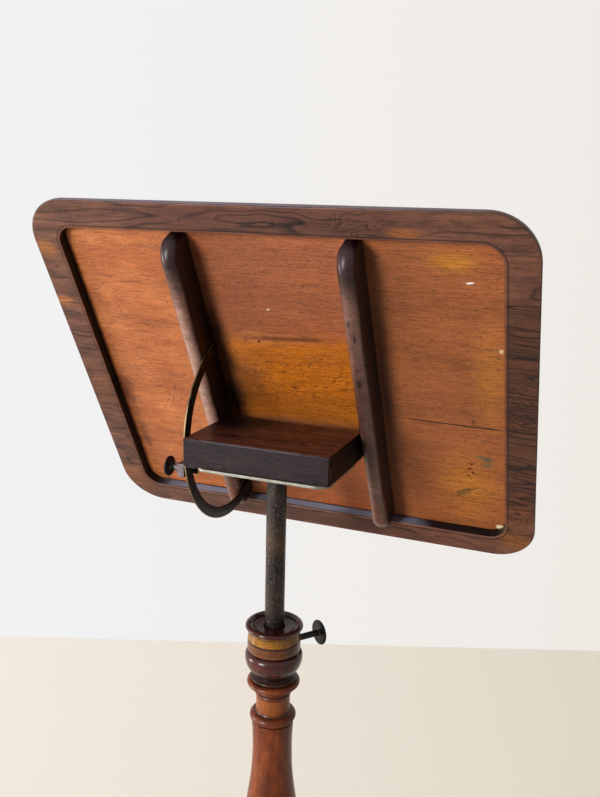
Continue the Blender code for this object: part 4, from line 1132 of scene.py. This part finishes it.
@dataclass
class Board:
    """Rosewood frame, mahogany panel, veneer leaf and book ledge."""

    corner: float = 0.048
    recess_corner: float = 0.020
    mould: float = 0.0174
    back_arris: float = 0.0014
    recess_arris: float = 0.0016
    joint_left: float = 0.2451
    joint_right: float = 0.2381
    joint_low: float = -0.1176
    seam: float = 0.1861
    leaf: float = 0.0008
    ledge_half: float = 0.205
    ledge_low: float = -0.1316
    ledge_t: float = 0.010
    ledge_depth: float = 0.022
    ledge_round: float = 0.0045

    def outer(self, inset: float, w: float) -> list[Vector]:
        """The board's outline drawn in by an inset, at a depth."""
        outline = rounded((-BOARD_HALF + inset, BOARD_LOW + inset), (BOARD_HALF - inset, BOARD_HIGH - inset),
                          self.corner - inset, 20)
        return [on_board(u, v, w) for u, v in outline]

    def inner(self, w: float, grown_by: float = 0.0) -> list[Vector]:
        """Draw the recess's outline.

        Args:
            w: Its depth.
            grown_by: How far it grows into the frame.

        Returns:
            The outline's points.
        """
        low = (-RECESS_HALF - grown_by, RECESS_LOW - grown_by)
        high = (RECESS_HALF + grown_by, RECESS_HIGH + grown_by)
        return [on_board(u, v, w) for u, v in rounded(low, high, self.recess_corner + grown_by, 20)]

    def moulding(self, start: float, end: float, steps: int) -> list[Point]:
        """Inset and depth along the round moulded edge, between two angles in degrees."""
        return [(self.mould - a, FACE_W - self.mould + b)
                for a, b in arc((0.0, 0.0), (self.mould, self.mould), start, end, steps)]

    def reach(self, w: float) -> float:
        """The angle of the moulded edge at a depth."""
        return math.degrees(math.asin((w - FACE_W + self.mould) / self.mould))

    def frame_ring(self) -> bmesh.types.BMesh:
        """Build the whole frame before it is cut at its joints.

        Returns:
            The closed ring.
        """
        front = PANEL_W - GAP
        eased, lip = (arc((size, FRAME_BACK_W + size), (size, size), *turns, 4) for size, turns in
                      ((self.back_arris, (270, 180)), (self.recess_arris, (180, 270))))
        rings = [self.inner(w, grown_by) for grown_by, w in lip]
        rings += [self.outer(inset, w) for inset, w in eased + self.moulding(0, self.reach(front), 4)]
        return loft([*rings, self.inner(front), rings[0]], capped=False)

    def rails(self) -> None:
        """Top and bottom rails with the corners, and the stiles butted between them."""
        far, near, above, below = 0.30, 0.20, 0.32, -0.20
        left, right, low, seam = self.joint_left, self.joint_right, self.joint_low, self.seam
        outlines = {
            "rail_top": [(-far, right), (0, right), (0, left), (far, left), (far, above), (-far, above)],
            "rail_bottom": [(-far, below), (far, below), (far, low), (-far, low)],
            "stile_left_upper": [(near, seam + GAP), (far, seam + GAP), (far, left - GAP), (near, left - GAP)],
            "stile_left": [(near, low + GAP), (far, low + GAP), (far, seam), (near, seam)],
            "stile_right": [(-far, low + GAP), (-near, low + GAP), (-near, right - GAP), (-far, right - GAP)]}
        for node, outline in outlines.items():
            region = prism(outline, FRAME_BACK_W - 0.01, PANEL_W + 0.01, on_board)
            show(solid(f"{node}_veneered", self.frame_ring(), kept=region), ROSEWOOD, Body.TOP, node)

    def panel(self) -> None:
        """The panel with its moulded edge, and the leaf let into its reading face."""
        pocket = self.mould + GAP
        rows = self.moulding(self.reach(PANEL_W), 90, 10) + [(pocket, FACE_W), (pocket, FACE_W - self.leaf - GAP)]
        show(solid("panel_moulded", loft([self.outer(*row) for row in rows])), PANEL, Body.TOP, "panel")
        edge = pocket + GAP
        rows = [(edge, FACE_W - self.leaf), (edge, FACE_W - 0.0001), (edge + 0.0002, FACE_W)]
        show(solid("face_veneer_leaf", loft([self.outer(*row) for row in rows])), LEAF, Body.TOP, "face_veneer")

    def ledge(self) -> None:
        """Round-nosed strip that books stand on."""
        near = FACE_W + GAP
        far = near + self.ledge_depth - self.ledge_round
        low, high, turn = self.ledge_low, self.ledge_low + self.ledge_t, self.ledge_round
        outline = [(low, near), (high, near), *arc((high - turn, far), (turn, turn), 0, 90, 8),
                   *arc((low + turn, far), (turn, turn), 90, 180, 8)]
        strip = prism(outline, -self.ledge_half, self.ledge_half, lambda v, w, u: on_board(u, v, w))
        show(solid("book_ledge_moulded", strip, arris=0.0012), ROSEWOOD, Body.TOP, "book_ledge")

    def build(self) -> None:
        """Build the whole board."""
        self.rails()
        self.panel()
        self.ledge()


@dataclass
class Battens:
    """The two round-nosed rails on the panel's back, with the pins and washers of the hinge."""

    thick: float = 0.018
    nose: float = -0.0211
    end: float = 0.024
    low: float = -0.1282
    high: float = 0.2476
    washer_bore: float = 0.0033
    washer_r: float = 0.0085
    washer_sides: Point = (0.0814, 0.0830)
    washer_ease: float = 0.0004

    def station(self, v: float, side: int) -> list[Vector]:
        """Section of a batten.

        Args:
            v: Place along the batten.
            side: One for the left batten and minus one for the right.

        Returns:
            The section's points.
        """
        half = self.thick / 2
        away = max(min(v - self.low, self.high - v), 0.0)
        wide = max(half * math.sqrt(max(1 - (1 - min(away / half, 1)) ** 2, 0.0)), 0.0004)
        rest = self.end - min(away, self.end)
        seat = PANEL_W - GAP
        tip = min(self.nose + self.end - math.sqrt(self.end ** 2 - rest ** 2), seat - 0.0006)
        turn = min(wide, seat - tip)
        middle, waist = side * (BATTEN_IN + half), (seat + tip + turn) / 2
        outline = [(middle + wide, seat), (middle + wide, waist), *arc((middle, tip + turn), (wide, turn), 0, -180, 16),
                   (middle - wide, waist), (middle - wide, seat)]
        return [on_board(u, v, w) for u, w in outline]

    def build(self) -> None:
        """Build both battens and their washers."""
        ends = [self.end * (1 - math.cos(math.pi / 2 * step / 16)) for step in range(17)]
        span = self.high - self.low - 2 * self.end
        places = [self.low + away for away in ends] + [self.low + self.end + span * step / 30 for step in range(1, 30)]
        places += [self.high - away for away in reversed(ends)]
        (near, far), ease, bore, wide = self.washer_sides, self.washer_ease, self.washer_bore, self.washer_r
        profile = [(bore, near), (wide - ease, near), (wide, near + ease), (wide, far - ease), (wide - ease, far),
                   (bore, far), (bore, near)]
        for name, side in (("left", 1), ("right", -1)):
            batten = solid(f"batten_{name}_rounded", loft([self.station(v, side) for v in places]), smooth=50)
            show(batten, BATTEN, Body.TOP, f"batten_{name}")
            place = lambda a, b, c, side=side: Vector((side * c, PIVOT_Y + a, PIVOT_Z + b))
            washer = solid(f"pivot_washer_{name}_turned", lathe(profile, place, 48))
            show(washer, BLACK_IRON, Body.TOP, f"pivot_washer_{name}")
        dress(BLACK_IRON, "pivot_pin_left", "pivot_pin_right")


@dataclass
class TiltArc:
    """Flat iron half ring about the hinge axis, swept by rule."""

    radius: float = 0.1094
    band: float = 0.0130
    thick: float = 0.0018
    corner: float = 0.0005
    sweep: float = 190.0
    outside: float = 0.0831

    def build(self) -> None:
        """Sweep the strip's section round its arc, and put it on the board."""
        values = {"Middle Radius": self.radius - self.band / 2, "Band": self.band, "Thickness": self.thick,
                  "Sweep": math.radians(self.sweep), "Corner": self.corner}
        tree, sizes = ruled("strip_arc", list(values))
        start = Shader(tree).math("MULTIPLY", sizes["Sweep"], -0.5)
        path = add(tree, "GeometryNodeCurveArc", {"Resolution": 120, "Radius": sizes["Middle Radius"],
                                                  "Start Angle": start, "Sweep Angle": sizes["Sweep"]})
        section = add(tree, "GeometryNodeCurvePrimitiveQuadrilateral",
                      {"Width": sizes["Band"], "Height": sizes["Thickness"]})
        eased = add(tree, "GeometryNodeFilletCurve", {"Curve": section.outputs[0], "Radius": sizes["Corner"],
                                                      "Count": 3}, mode="POLY")
        swept = add(tree, "GeometryNodeCurveToMesh", {"Curve": path.outputs[0], "Profile Curve": eased.outputs[0],
                                                      "Fill Caps": True})
        made = grown("tilt_arc_strip", bpy.data.meshes.new("tilt_arc_strip"), swept, ARC_IRON, values)
        axes = Matrix(((0, 0, 1, 0), (0, 1, 0, 0), (-1, 0, 0, 0), (0, 0, 0, 1)))
        board = Matrix.Translation((0, PIVOT_Y, PIVOT_Z)) @ Matrix.Rotation(TILT, 4, "X")
        made.data.transform(board @ Matrix.Translation((self.outside - self.thick / 2, 0, 0)) @ axes)
        made.data.update()
        smoothed(made, 40)
        show(made, ARC_IRON, Body.TOP, "tilt_arc")


@dataclass
class Head:
    """Pivot block, mounting plate, arc clamp and the tilt's thumbscrew."""

    half: float = 0.0808
    back: float = -0.0597
    front_arris: float = 0.0016
    plate_top: float = 0.9615
    plate_t: float = 0.0032
    screw_y: float = 0.0468
    screw_z: float = 0.9545
    clamp_h: float = 0.0150
    foot_t: float = 0.0035
    disc: float = 0.1043

    def about_screw(self, a: float, b: float, c: float) -> Vector:
        """A point about the thumbscrew's axis, c metres from the middle plane."""
        return Vector((c, self.screw_y + a, self.screw_z + b))

    def block(self) -> None:
        """Thick board with a round back edge."""
        turn, ease = (BLOCK_TOP - BLOCK_BOTTOM) / 2, self.front_arris
        outline = arc((BLOCK_FRONT - ease, BLOCK_BOTTOM + ease), (ease, ease), -90, 0, 4)
        outline += arc((BLOCK_FRONT - ease, BLOCK_TOP - ease), (ease, ease), 0, 90, 4)
        outline += arc((self.back + turn, BLOCK_TOP - turn), (turn, turn), 90, 270, 20)
        made = solid("pivot_block_figured", prism(outline, -self.half, self.half, lengthwise), 0.0008, smooth=30)
        show(made, BLOCK, Body.HEAD, "pivot_block")

    def plate(self) -> None:
        """Steel plate under the block."""
        low = self.plate_top - self.plate_t
        outline = rounded((-0.079, -0.040), (0.0695, BLOCK_FRONT), 0.015, 10)
        bore = prism(circle((0, 0), 0.0063), low - 0.01, self.plate_top + 0.01)
        made = solid("mount_plate_eased", prism(outline, low, self.plate_top), 0.0005, [bore])
        show(made, PALE_STEEL, Body.HEAD, "mount_plate")

    def clamp(self) -> None:
        """Forked iron box round the arc, with a boss for the thumbscrew."""
        back, web, near = 0.0344, 0.0379, 0.0553
        outline = [(0.0772, back), (0.092, back), (0.092, near), (0.0837, near), (0.0837, web), (0.0772, web)]
        flange = [(0.0704, back), (0.0807, back), (0.0807, near), (0.0704, near)]
        top = BLOCK_BOTTOM - GAP
        boss = lathe([(0.0030, 0.0880), (0.0045, 0.0880), (0.0045, 0.0974), (0.0041, 0.0980), (0.0030, 0.0980),
                      (0.0030, 0.0880)], self.about_screw, 40)
        whole = join(prism(outline, top - self.clamp_h, top), prism(flange, top - self.foot_t, top), boss)
        show(solid("arc_clamp_forged", whole, arris=0.0006), CLAMP_IRON, Body.HEAD, "arc_clamp")

    def thumbscrew(self) -> None:
        """Disc-headed screw that presses on the arc."""
        disc = self.disc
        profile = [(0, 0.0834), (0.0027, 0.0834), (0.0027, 0.0983), (0.0022, 0.0986), (0.0022, disc - 0.0006),
                   (0.0030, disc), *bead(0.0110, disc + 0.0014, -0.0028, 0.0012, 8), (0.0085, disc + 0.0024),
                   (0.0030, disc + 0.0024), (0.0024, disc + 0.0031), (0, disc + 0.0032)]
        made = solid("tilt_screw_turned", lathe(profile, self.about_screw, 64))
        show(made, BLACK_IRON, Body.TILT_SCREW, "tilt_screw")

    def build(self) -> None:
        """Build the whole head."""
        self.block()
        self.plate()
        self.clamp()
        self.thumbscrew()


@dataclass
class Lift:
    """Sliding rod with its spigot, and the hidden nut on it."""

    radius: float = 0.0110
    low: float = 0.4980
    high: float = 0.9580
    top: float = 0.9723
    spigot_r: float = 0.0060
    ease: float = 0.0015

    def build(self) -> None:
        """Build the rod."""
        foot = self.low + self.ease
        profile = [(0, self.low), (self.radius - self.ease, self.low), (self.radius, foot)]
        profile += [(self.radius, foot + (self.high - self.low - 0.002) * step / 60) for step in range(1, 61)]
        profile += [(self.radius - 0.0004, self.high), (self.spigot_r, self.high), (self.spigot_r, self.top - 0.0005),
                    (self.spigot_r - 0.0005, self.top), (0, self.top)]
        show(solid("rod_drawn", lathe(profile, steps=64)), ROD_IRON, Body.LIFT, "rod")
        dress(BLACK_IRON, "swivel_nut")


@dataclass
class Collar:
    """Turned cap with a dished top, a worn band and a torus, and the thumbscrew through it."""

    rim_z: float = 0.7705
    rim_r: float = 0.0327
    rim_h: float = 0.0060
    band_r: float = 0.0302
    band_low: float = 0.7395
    foot_z: float = 0.7085
    tenon_h: float = 0.019
    socket: float = 0.0180
    under: tuple[Point, ...] = ((1.0, 0.0), (0.998, 0.12), (0.985, 0.25), (0.963, 0.38), (0.930, 0.50), (0.883, 0.63),
                                (0.823, 0.75), (0.765, 0.85), (0.720, 0.93), (0.683, 1.0))
    torus_r: float = 0.0328
    torus_z: float = 0.7316
    torus_h: float = 0.0140
    screw_z: float = 0.7430
    screw_turn: float = math.radians(-128.3)
    disc: float = 0.0585

    def outward(self, a: float, b: float, c: float) -> Vector:
        """A point about the thumbscrew's axis, c metres out from the rod's middle."""
        out = Vector((math.cos(self.screw_turn), math.sin(self.screw_turn), 0))
        return out * c + Vector((-out.y, out.x, 0)) * a + Vector((0, 0, self.screw_z + b))

    def cap(self) -> None:
        """The collar itself."""
        band, tenon_top, dish = self.band_r, self.foot_z + self.tenon_h, self.rim_z - 0.0040
        profile = [(BORE_R, tenon_top), (BORE_R, dish - 0.0016), (BORE_R + 0.0010, dish), (0.0180, dish + 0.0002)]
        profile += arc((0.0242, dish + 0.0024), (0.0030, 0.0022), 240, 330, 5)
        profile += bead(self.rim_r, self.rim_z - self.rim_h / 2, self.rim_h, 0.0042, 14)
        groove = self.band_low + (self.rim_z - self.rim_h - self.band_low) * 0.5
        profile += [(band, groove + 0.0006), (band - 0.0006, groove), (band, groove - 0.0006),
                    (band, self.band_low + 0.001), (band - 0.0005, self.band_low)]
        half = self.torus_h / 2
        profile += arc((self.torus_r - half, self.torus_z), (half, half), 72, 8, 10)
        under = [(self.torus_r * wide, self.torus_z + (self.foot_z - self.torus_z) * down) for wide, down in self.under]
        wide, high = under[5]
        profile += [*through(under[:6], 3), (wide - 0.0008, high - 0.0004), (wide - 0.0010, high - 0.0012)]
        profile += through([(wide - 0.0008, high - 0.0014), *under[6:]], 3)
        profile += [(self.socket, self.foot_z), (self.socket, tenon_top), (BORE_R, tenon_top)]
        hole = prism(circle((0, 0), 0.0068), 0.0, 0.06, self.outward)
        show(solid("collar_turned", lathe(profile), cuts=[hole]), COLLAR, Body.STAND, "collar")
        dress(BLACK_IRON, "collar_nut")

    def thumbscrew(self) -> None:
        """Disc-headed screw that presses on the rod."""
        disc = self.disc
        profile = [(0, 0.0113), (0.0037, 0.0113), (0.0037, disc - 0.0010), (0.0046, disc),
                   *bead(0.0145, disc + 0.0016, -0.0032, 0.0014, 8), (0.0120, disc + 0.0029),
                   (0.0037, disc + 0.0029), (0.0030, disc + 0.0032), (0, disc + 0.0032)]
        made = solid("column_screw_turned", lathe(profile, self.outward, 72))
        show(made, BLACK_IRON, Body.COLUMN_SCREW, "column_screw")

    def build(self) -> None:
        """Build the collar and its thumbscrew."""
        self.cap()
        self.thumbscrew()


@dataclass
class Column:
    """Turned column from the flange under the collar to the foot ring on the base."""

    seat: float = 0.7082
    foot: float = 0.0736
    tenon_r: float = 0.0177
    tenon_top: float = 0.7272
    bore_low: float = 0.3030
    vase_r: float = 0.0370
    vase_top: float = 0.6470
    vase_foot: float = 0.3050
    stem_r: float = 0.0360
    stem_top: float = 0.2850
    stem_foot: float = 0.1050
    vase: tuple[Point, ...] = ((0.65, 0.0), (0.627, 0.05), (0.622, 0.11), (0.66, 0.2), (0.787, 0.304), (0.91, 0.42),
                               (0.99, 0.53), (0.99, 0.62), (0.91, 0.74), (0.76, 0.87), (0.62, 1.0))
    stem: tuple[Point, ...] = ((0.55, 0.0), (0.6, 0.18), (0.76, 0.4), (0.95, 0.66), (1.0, 0.82), (0.93, 1.0))

    def swelling(self, shares: Sequence[Point], radius: float, top: float, foot: float) -> list[Point]:
        """Smooth swelling from its shares of radius and of the way down."""
        return through([(radius * wide, top + (foot - top) * down) for wide, down in shares])

    def build(self) -> None:
        """Build the column."""
        profile = [(0, self.bore_low), (BORE_R, self.bore_low), (BORE_R, self.tenon_top),
                   (self.tenon_r, self.tenon_top), (self.tenon_r, self.seat), (0.0224, self.seat)]
        profile += [*bead(0.0262, 0.7044, 0.0040, 0.0020, 8), (0.0246, 0.7020)]
        profile += [*bead(0.0303, 0.6982, 0.0074, 0.0040, 12), (0.0250, 0.6940), (0.0243, 0.6932)]
        profile += bead(0.0246, 0.6912, 0.0030, 0.0012, 6)
        profile += arc((0.0232, 0.6878), (0.0036, 0.0022), 90, 180, 6)
        profile += bead(0.0206, 0.6838, 0.0034, 0.0011, 6)
        profile += [(0.0195, 0.6815), (0.0194, 0.6720), (0.0195, 0.6625), (0.0204, 0.6610)]
        profile += [*bead(0.0267, 0.6552, 0.0112, 0.0060, 14), (0.0236, 0.6484)]
        profile += self.swelling(self.vase, self.vase_r, self.vase_top, self.vase_foot)
        profile += bead(0.0285, 0.2960, 0.0120, 0.0060, 12)
        profile += self.swelling(self.stem, self.stem_r, self.stem_top, self.stem_foot)
        profile += bead(0.0450, self.foot + 0.0100, 0.0200, 0.0100, 14)
        profile += [(0.0160, self.foot), (0.0160, 0.0530), (0.0043, 0.0530), (0.0043, 0.1203), (0, 0.1203)]
        show(solid("column_turned", lathe(profile, steps=112)), TURNED, Body.STAND, "column")


@dataclass
class Base:
    """Round moulded platform on three turned feet."""

    radius: float = 0.205
    low: float = 0.0453
    high: float = 0.0733
    inner: float = 0.159
    foot_circle: float = 0.150
    foot_r: float = 0.035
    foot_h: float = 0.045
    mortise_r: float = 0.0093
    shares: tuple[Point, ...] = ((0.7, 1.0), (0.72, 0.9), (0.62, 0.86), (0.86, 0.72), (0.98, 0.55), (1.0, 0.42),
                                 (0.93, 0.22), (0.78, 0.08))

    def platform(self, feet: Sequence[Point]) -> None:
        """Build the round board, with mortises for the feet's dowels.

        Args:
            feet: Middles of the feet.
        """
        inner, step_z, edge = self.inner, self.high - 0.0030, self.low + 0.018
        profile = [(0.0163, 0.0522), (0.0163, self.high), (inner - 0.001, self.high), (inner, self.high - 0.001),
                   (inner, step_z)]
        profile += arc((inner + 0.003, edge), (self.radius - inner - 0.003, step_z - edge), 90, 0, 14)
        profile += arc((self.radius, self.low), (0.010, 0.010), 90, 180, 8)
        profile += [(0.0213, self.low), (0.0213, 0.0522), (0.0163, 0.0522)]
        mortises = [prism(circle(middle, self.mortise_r), 0.04, 0.0616) for middle in feet]
        show(solid("platform_turned", lathe(profile, steps=160), cuts=mortises), PLATFORM, Body.STAND, "platform")

    def foot(self, number: int, x: float, y: float) -> None:
        """Build one bun foot with its dowel.

        Args:
            number: Its number.
            x: Its middle along X.
            y: Its middle along Y.
        """
        curve = [(self.foot_r * wide, self.foot_h * high) for wide, high in self.shares]
        outline = [(0, 0.061), (0.0085, 0.061), (0.009, 0.0605), (0.009, self.foot_h), *curve[:3],
                   *through(curve[2:], 5)[1:], (0.0205, 0.0003), (0.0200, 0), (0, 0)]
        made = solid(f"foot_{number}_turned", lathe(outline, lambda a, b, c: Vector((x + a, y + b, c)), 72))
        show(made, TURNED, Body.STAND, f"foot_{number}")

    def build(self) -> None:
        """Build the platform and its feet."""
        turns = [math.tau * number / 3 - math.pi / 2 for number in range(3)]
        feet = [(self.foot_circle * math.cos(turn), self.foot_circle * math.sin(turn)) for turn in turns]
        self.platform(feet)
        for number, middle in enumerate(feet, 1):
            self.foot(number, *middle)
        dress(BLACK_IRON, "base_washer", "base_bolt")


@dataclass
class ScrewHeads:
    """Slotted countersunk screws, made by rule from their places on a body."""

    slot_width: float = 0.0009
    slot_depth: float = 0.0010
    sunk: float = 0.0001
    plate_r: float = 0.0044
    clamp_r: float = 0.0034
    arc_r: float = 0.0036

    def head(self, tree: bpy.types.NodeTree, given: bpy.types.NodeOutputs) -> Socket:
        """Build a screw head of radius one with a slot across it.

        Args:
            tree: The tree that makes it.
            given: The tree's inputs.

        Returns:
            The head's geometry.
        """
        shader = Shader(tree)
        cone = add(tree, "GeometryNodeMeshCone", {"Vertices": 28, "Radius Top": 1.0, "Radius Bottom": 0.5,
                                                  "Depth": 0.55})
        sunk = add(tree, "GeometryNodeTransform", {"Geometry": cone.outputs[0], "Translation": (0, 0, -0.55)})
        width = shader.math("MULTIPLY", given["Slot Width"], 250.0)
        depth = shader.math("MULTIPLY", given["Slot Depth"], 500.0)
        size = add(tree, "ShaderNodeCombineXYZ", {0: 3.0, 1: width, 2: depth})
        slot = add(tree, "GeometryNodeMeshCube", {"Size": size.outputs[0]})
        cut = add(tree, "GeometryNodeMeshBoolean", {0: sunk.outputs[0]}, operation="DIFFERENCE", solver="EXACT")
        tree.links.new(slot.outputs[0], cut.inputs[1])
        return cut.outputs[0]

    def set_in(self, name: str, body: Body, screws: dict[str, tuple[Vector, Vector, float]]) -> None:
        """Set screws in one body.

        Args:
            name: The piece's name.
            body: The body that carries them.
            screws: Place of the head's top, way it faces and radius, by CAD node.
        """
        mesh = bpy.data.meshes.new(name)
        mesh.from_pydata([place for place, _, _ in screws.values()], [], [])
        kinds = {"way": "FLOAT_VECTOR", "turn": "FLOAT", "head_radius": "FLOAT"}
        for label, kind in kinds.items():
            mesh.attributes.new(label, kind, "POINT")
        for number, (_, faces, head_r) in enumerate(screws.values()):
            mesh.attributes["way"].data[number].vector = faces
            mesh.attributes["turn"].data[number].value = 0.6 + 1.9 * number
            mesh.attributes["head_radius"].data[number].value = head_r
        values = {"Slot Width": self.slot_width, "Slot Depth": self.slot_depth}
        tree, given = ruled("slotted_screws", list(values))
        cut = self.head(tree, given)
        way, turn, size = (add(tree, "GeometryNodeInputNamedAttribute", {"Name": label}, data_type=kind).outputs[0]
                           for label, kind in kinds.items())
        aimed = add(tree, "FunctionNodeAlignRotationToVector", {"Vector": way}, axis="Z")
        spun = add(tree, "FunctionNodeAxisAngleToRotation", {"Angle": turn})
        both = add(tree, "FunctionNodeRotateRotation", {0: aimed.outputs[0], 1: spun.outputs[0]},
                   rotation_space="LOCAL")
        heads = add(tree, "GeometryNodeInstanceOnPoints", {"Points": given["Geometry"], "Instance": cut,
                                                           "Rotation": both.outputs[0], "Scale": size})
        show(grown(name, mesh, heads, SCREW_IRON, values), SCREW_IRON, body, *screws)

    def build(self) -> None:
        """Set the screws of the head and of the board."""
        down, inward = Vector((0, 0, -1)), Vector((-1, 0, 0))
        head, top = {}, {}
        for screws, radius, way, names in (
                (head, self.plate_r, down, [f"plate_screw_{number}" for number in range(1, 5)]),
                (head, self.clamp_r, down, ["clamp_screw_1", "clamp_screw_2"]),
                (top, self.arc_r, inward, ["arc_screw_1", "arc_screw_2"])):
            for name in names:
                low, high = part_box(name)
                middle = (low + high) / 2
                face = (low.x - self.sunk, middle.y, middle.z) if way is inward else (
                    middle.x, middle.y, low.z - self.sunk)
                screws[name] = (Vector(face), way, radius)
        self.set_in("head_screws", Body.HEAD, head)
        self.set_in("arc_screws", Body.TOP, top)
        dress(SCREW_IRON, *(f"batten_screw_{side}_{number}" for side in ("left", "right") for number in (1, 2)))


@dataclass
class Studio:
    """Plain floor and backdrop, soft lights and the camera of the photograph."""

    eye: Spot = (-0.3449, 0.8192, 1.2411)
    yaw: float = math.radians(21.36)
    pitch: float = math.radians(13.31)
    roll: float = math.radians(1.37)
    lens: float = 51.65
    sensor: float = 36.0
    wall_away: float = 2.22
    wall_high: float = 5.0
    reach: float = 6.0

    def sheet(self, name: str, corners: Sequence[Vector], material: bpy.types.Material) -> None:
        """Put up one flat sheet of floor or backdrop.

        Args:
            name: Its name.
            corners: Its corners in order.
            material: Its material.
        """
        mesh = bpy.data.meshes.new(name)
        mesh.from_pydata(corners, [], [list(range(len(corners)))])
        mesh.materials.append(material)
        placed(name, mesh)

    def shown(self, tree: bpy.types.NodeTree) -> Socket:
        """Tell what the camera sees straight, mirrored or through glass from light on the object.

        Args:
            tree: The tree that asks.

        Returns:
            A socket with one for what the camera sees and zero for light.
        """
        path, shader = add(tree, Kind.LIGHT_PATH).outputs, Shader(tree)
        mirrored = shader.math("MAXIMUM", path["Is Glossy Ray"], path["Is Transmission Ray"])
        return shader.math("MAXIMUM", path["Is Camera Ray"], mirrored)

    def paint(self, name: str, cool: str, warm: str, glow: float, see_through: bool) -> bpy.types.Material:
        """Pale stage material that shows its own colour to the camera and in reflections.

        Args:
            name: The material's name.
            cool: Colour on the left of the photograph.
            warm: Colour on its right.
            glow: Share of the colour that needs no light.
            see_through: Whether its back is clear.

        Returns:
            The material.
        """
        made, tree = blank(name)
        shader = Shader(tree)
        split = add(tree, Kind.SPLIT, {0: add(tree, Kind.COORDS).outputs["Object"]})
        colour = shader.mix(shader.span(split.outputs[0], 1.1, -0.5), linear(cool), warm)
        matt = add(tree, Kind.SURFACE, {"Base Color": colour, "Roughness": 0.9, "Specular IOR Level": 0.1})
        lit = add(tree, Kind.EMISSION, {"Color": colour, "Strength": 1.0})
        share = shader.math("MULTIPLY", self.shown(tree), glow)
        surface = add(tree, Kind.MIX_SHADER, {0: share, 1: matt.outputs[0], 2: lit.outputs[0]})
        if see_through:
            clear, back = add(tree, Kind.CLEAR), add(tree, Kind.GEOMETRY)
            surface = add(tree, Kind.MIX_SHADER, {0: back.outputs["Backfacing"], 1: surface.outputs[0],
                                                  2: clear.outputs[0]})
        add(tree, Kind.OUTPUT, {0: surface.outputs[0]})
        return made

    def lamp(self, name: str, place: Spot, aim: Spot, size: Point, power: float, colour: str,
             spread: float = 180.0) -> None:
        """Hang one soft lamp.

        Args:
            name: Its name.
            place: Where it hangs.
            aim: The point that it faces.
            size: Its width and height.
            power: Its power in watts.
            colour: Its colour.
            spread: The angle of its light in degrees.
        """
        data = bpy.data.lights.new(name, "AREA")
        data.shape = "RECTANGLE"
        data.size, data.size_y = size
        data.energy, data.color, data.spread = power, linear(colour)[:3], math.radians(spread)
        made = placed(name, data)
        made.location = place
        made.rotation_euler = (Vector(aim) - Vector(place)).to_track_quat("-Z", "Y").to_euler()

    def camera(self) -> None:
        """The camera at the photograph's place."""
        level = math.cos(self.pitch)
        ahead = Vector((math.sin(self.yaw) * level, -math.cos(self.yaw) * level, -math.sin(self.pitch)))
        right = ahead.cross(Vector((0, 0, 1))).normalized()
        up = right.cross(ahead)
        turned = math.cos(self.roll) * right + math.sin(self.roll) * up
        over = -math.sin(self.roll) * right + math.cos(self.roll) * up
        data = bpy.data.cameras.new("camera")
        data.sensor_fit, data.sensor_width, data.lens, data.clip_start = "HORIZONTAL", self.sensor, self.lens, 0.02
        made = placed("camera", data)
        made.matrix_world = Matrix.Translation(self.eye) @ Matrix((turned, over, -ahead)).transposed().to_4x4()
        bpy.context.scene.camera = made

    def world(self) -> None:
        """Pale surroundings in view and in reflections, which add little light."""
        world = bpy.data.worlds.new("studio")
        world.use_nodes = True
        tree = world.node_tree
        inputs = tree.nodes["Background"].inputs
        tree.links.new(Shader(tree).span(self.shown(tree), 0.0, 1.0, 0.06, 1.0), inputs["Strength"])
        inputs["Color"].default_value = linear("#f1f2f4")
        bpy.context.scene.world = world

    def build(self) -> None:
        """Build floor, backdrop, lights and camera."""
        self.camera()
        ahead = Vector((math.sin(self.yaw), -math.cos(self.yaw), 0))
        aside = Vector((-ahead.y, ahead.x, 0)) * self.reach
        foot = Vector((self.eye[0], self.eye[1], 0)) + ahead * self.wall_away
        rise = Vector((0, 0, self.wall_high))
        wall = self.paint("pale_wall", "#f2f2f3", "#efe9e2", 1.0, True)
        floor = self.paint("pale_stone_floor", "#f8efe2", "#f6ecd9", 0.60, False)
        self.sheet("backdrop", [foot - aside, foot - aside + rise, foot + aside + rise, foot + aside], wall)
        self.sheet("floor", [Vector((x * self.reach, y * self.reach, 0))
                             for x, y in ((-1, -1), (1, -1), (1, 1), (-1, 1))], floor)
        self.lamp("window", (1.15, 2.50, 1.25), (0.0, 0.0, 1.0), (0.80, 1.40), 36.5, "#fdfcfb", 120.0)
        self.lamp("side", (2.30, 0.70, 0.60), (0.0, 0.0, 0.7), (0.50, 1.00), 31.0, "#fff4ea")
        self.lamp("sky", (0.80, -0.80, 2.8), (0.0, 0.0, 0.9), (1.3, 1.3), 26.0, "#c9d4ff")
        self.world()
        bpy.context.scene.view_settings.view_transform = "Standard"


def main() -> None:
    """Build every sub-assembly in order."""
    logging.basicConfig(level=logging.INFO, format="%(name)s: %(message)s")
    for part in (Studio(), Board(), Battens(), TiltArc(), Head(), Lift(), Collar(), Column(), Base(), ScrewHeads()):
        part.build()
        log.info("%s built", type(part).__name__)


if __name__ == "__main__":
    main()
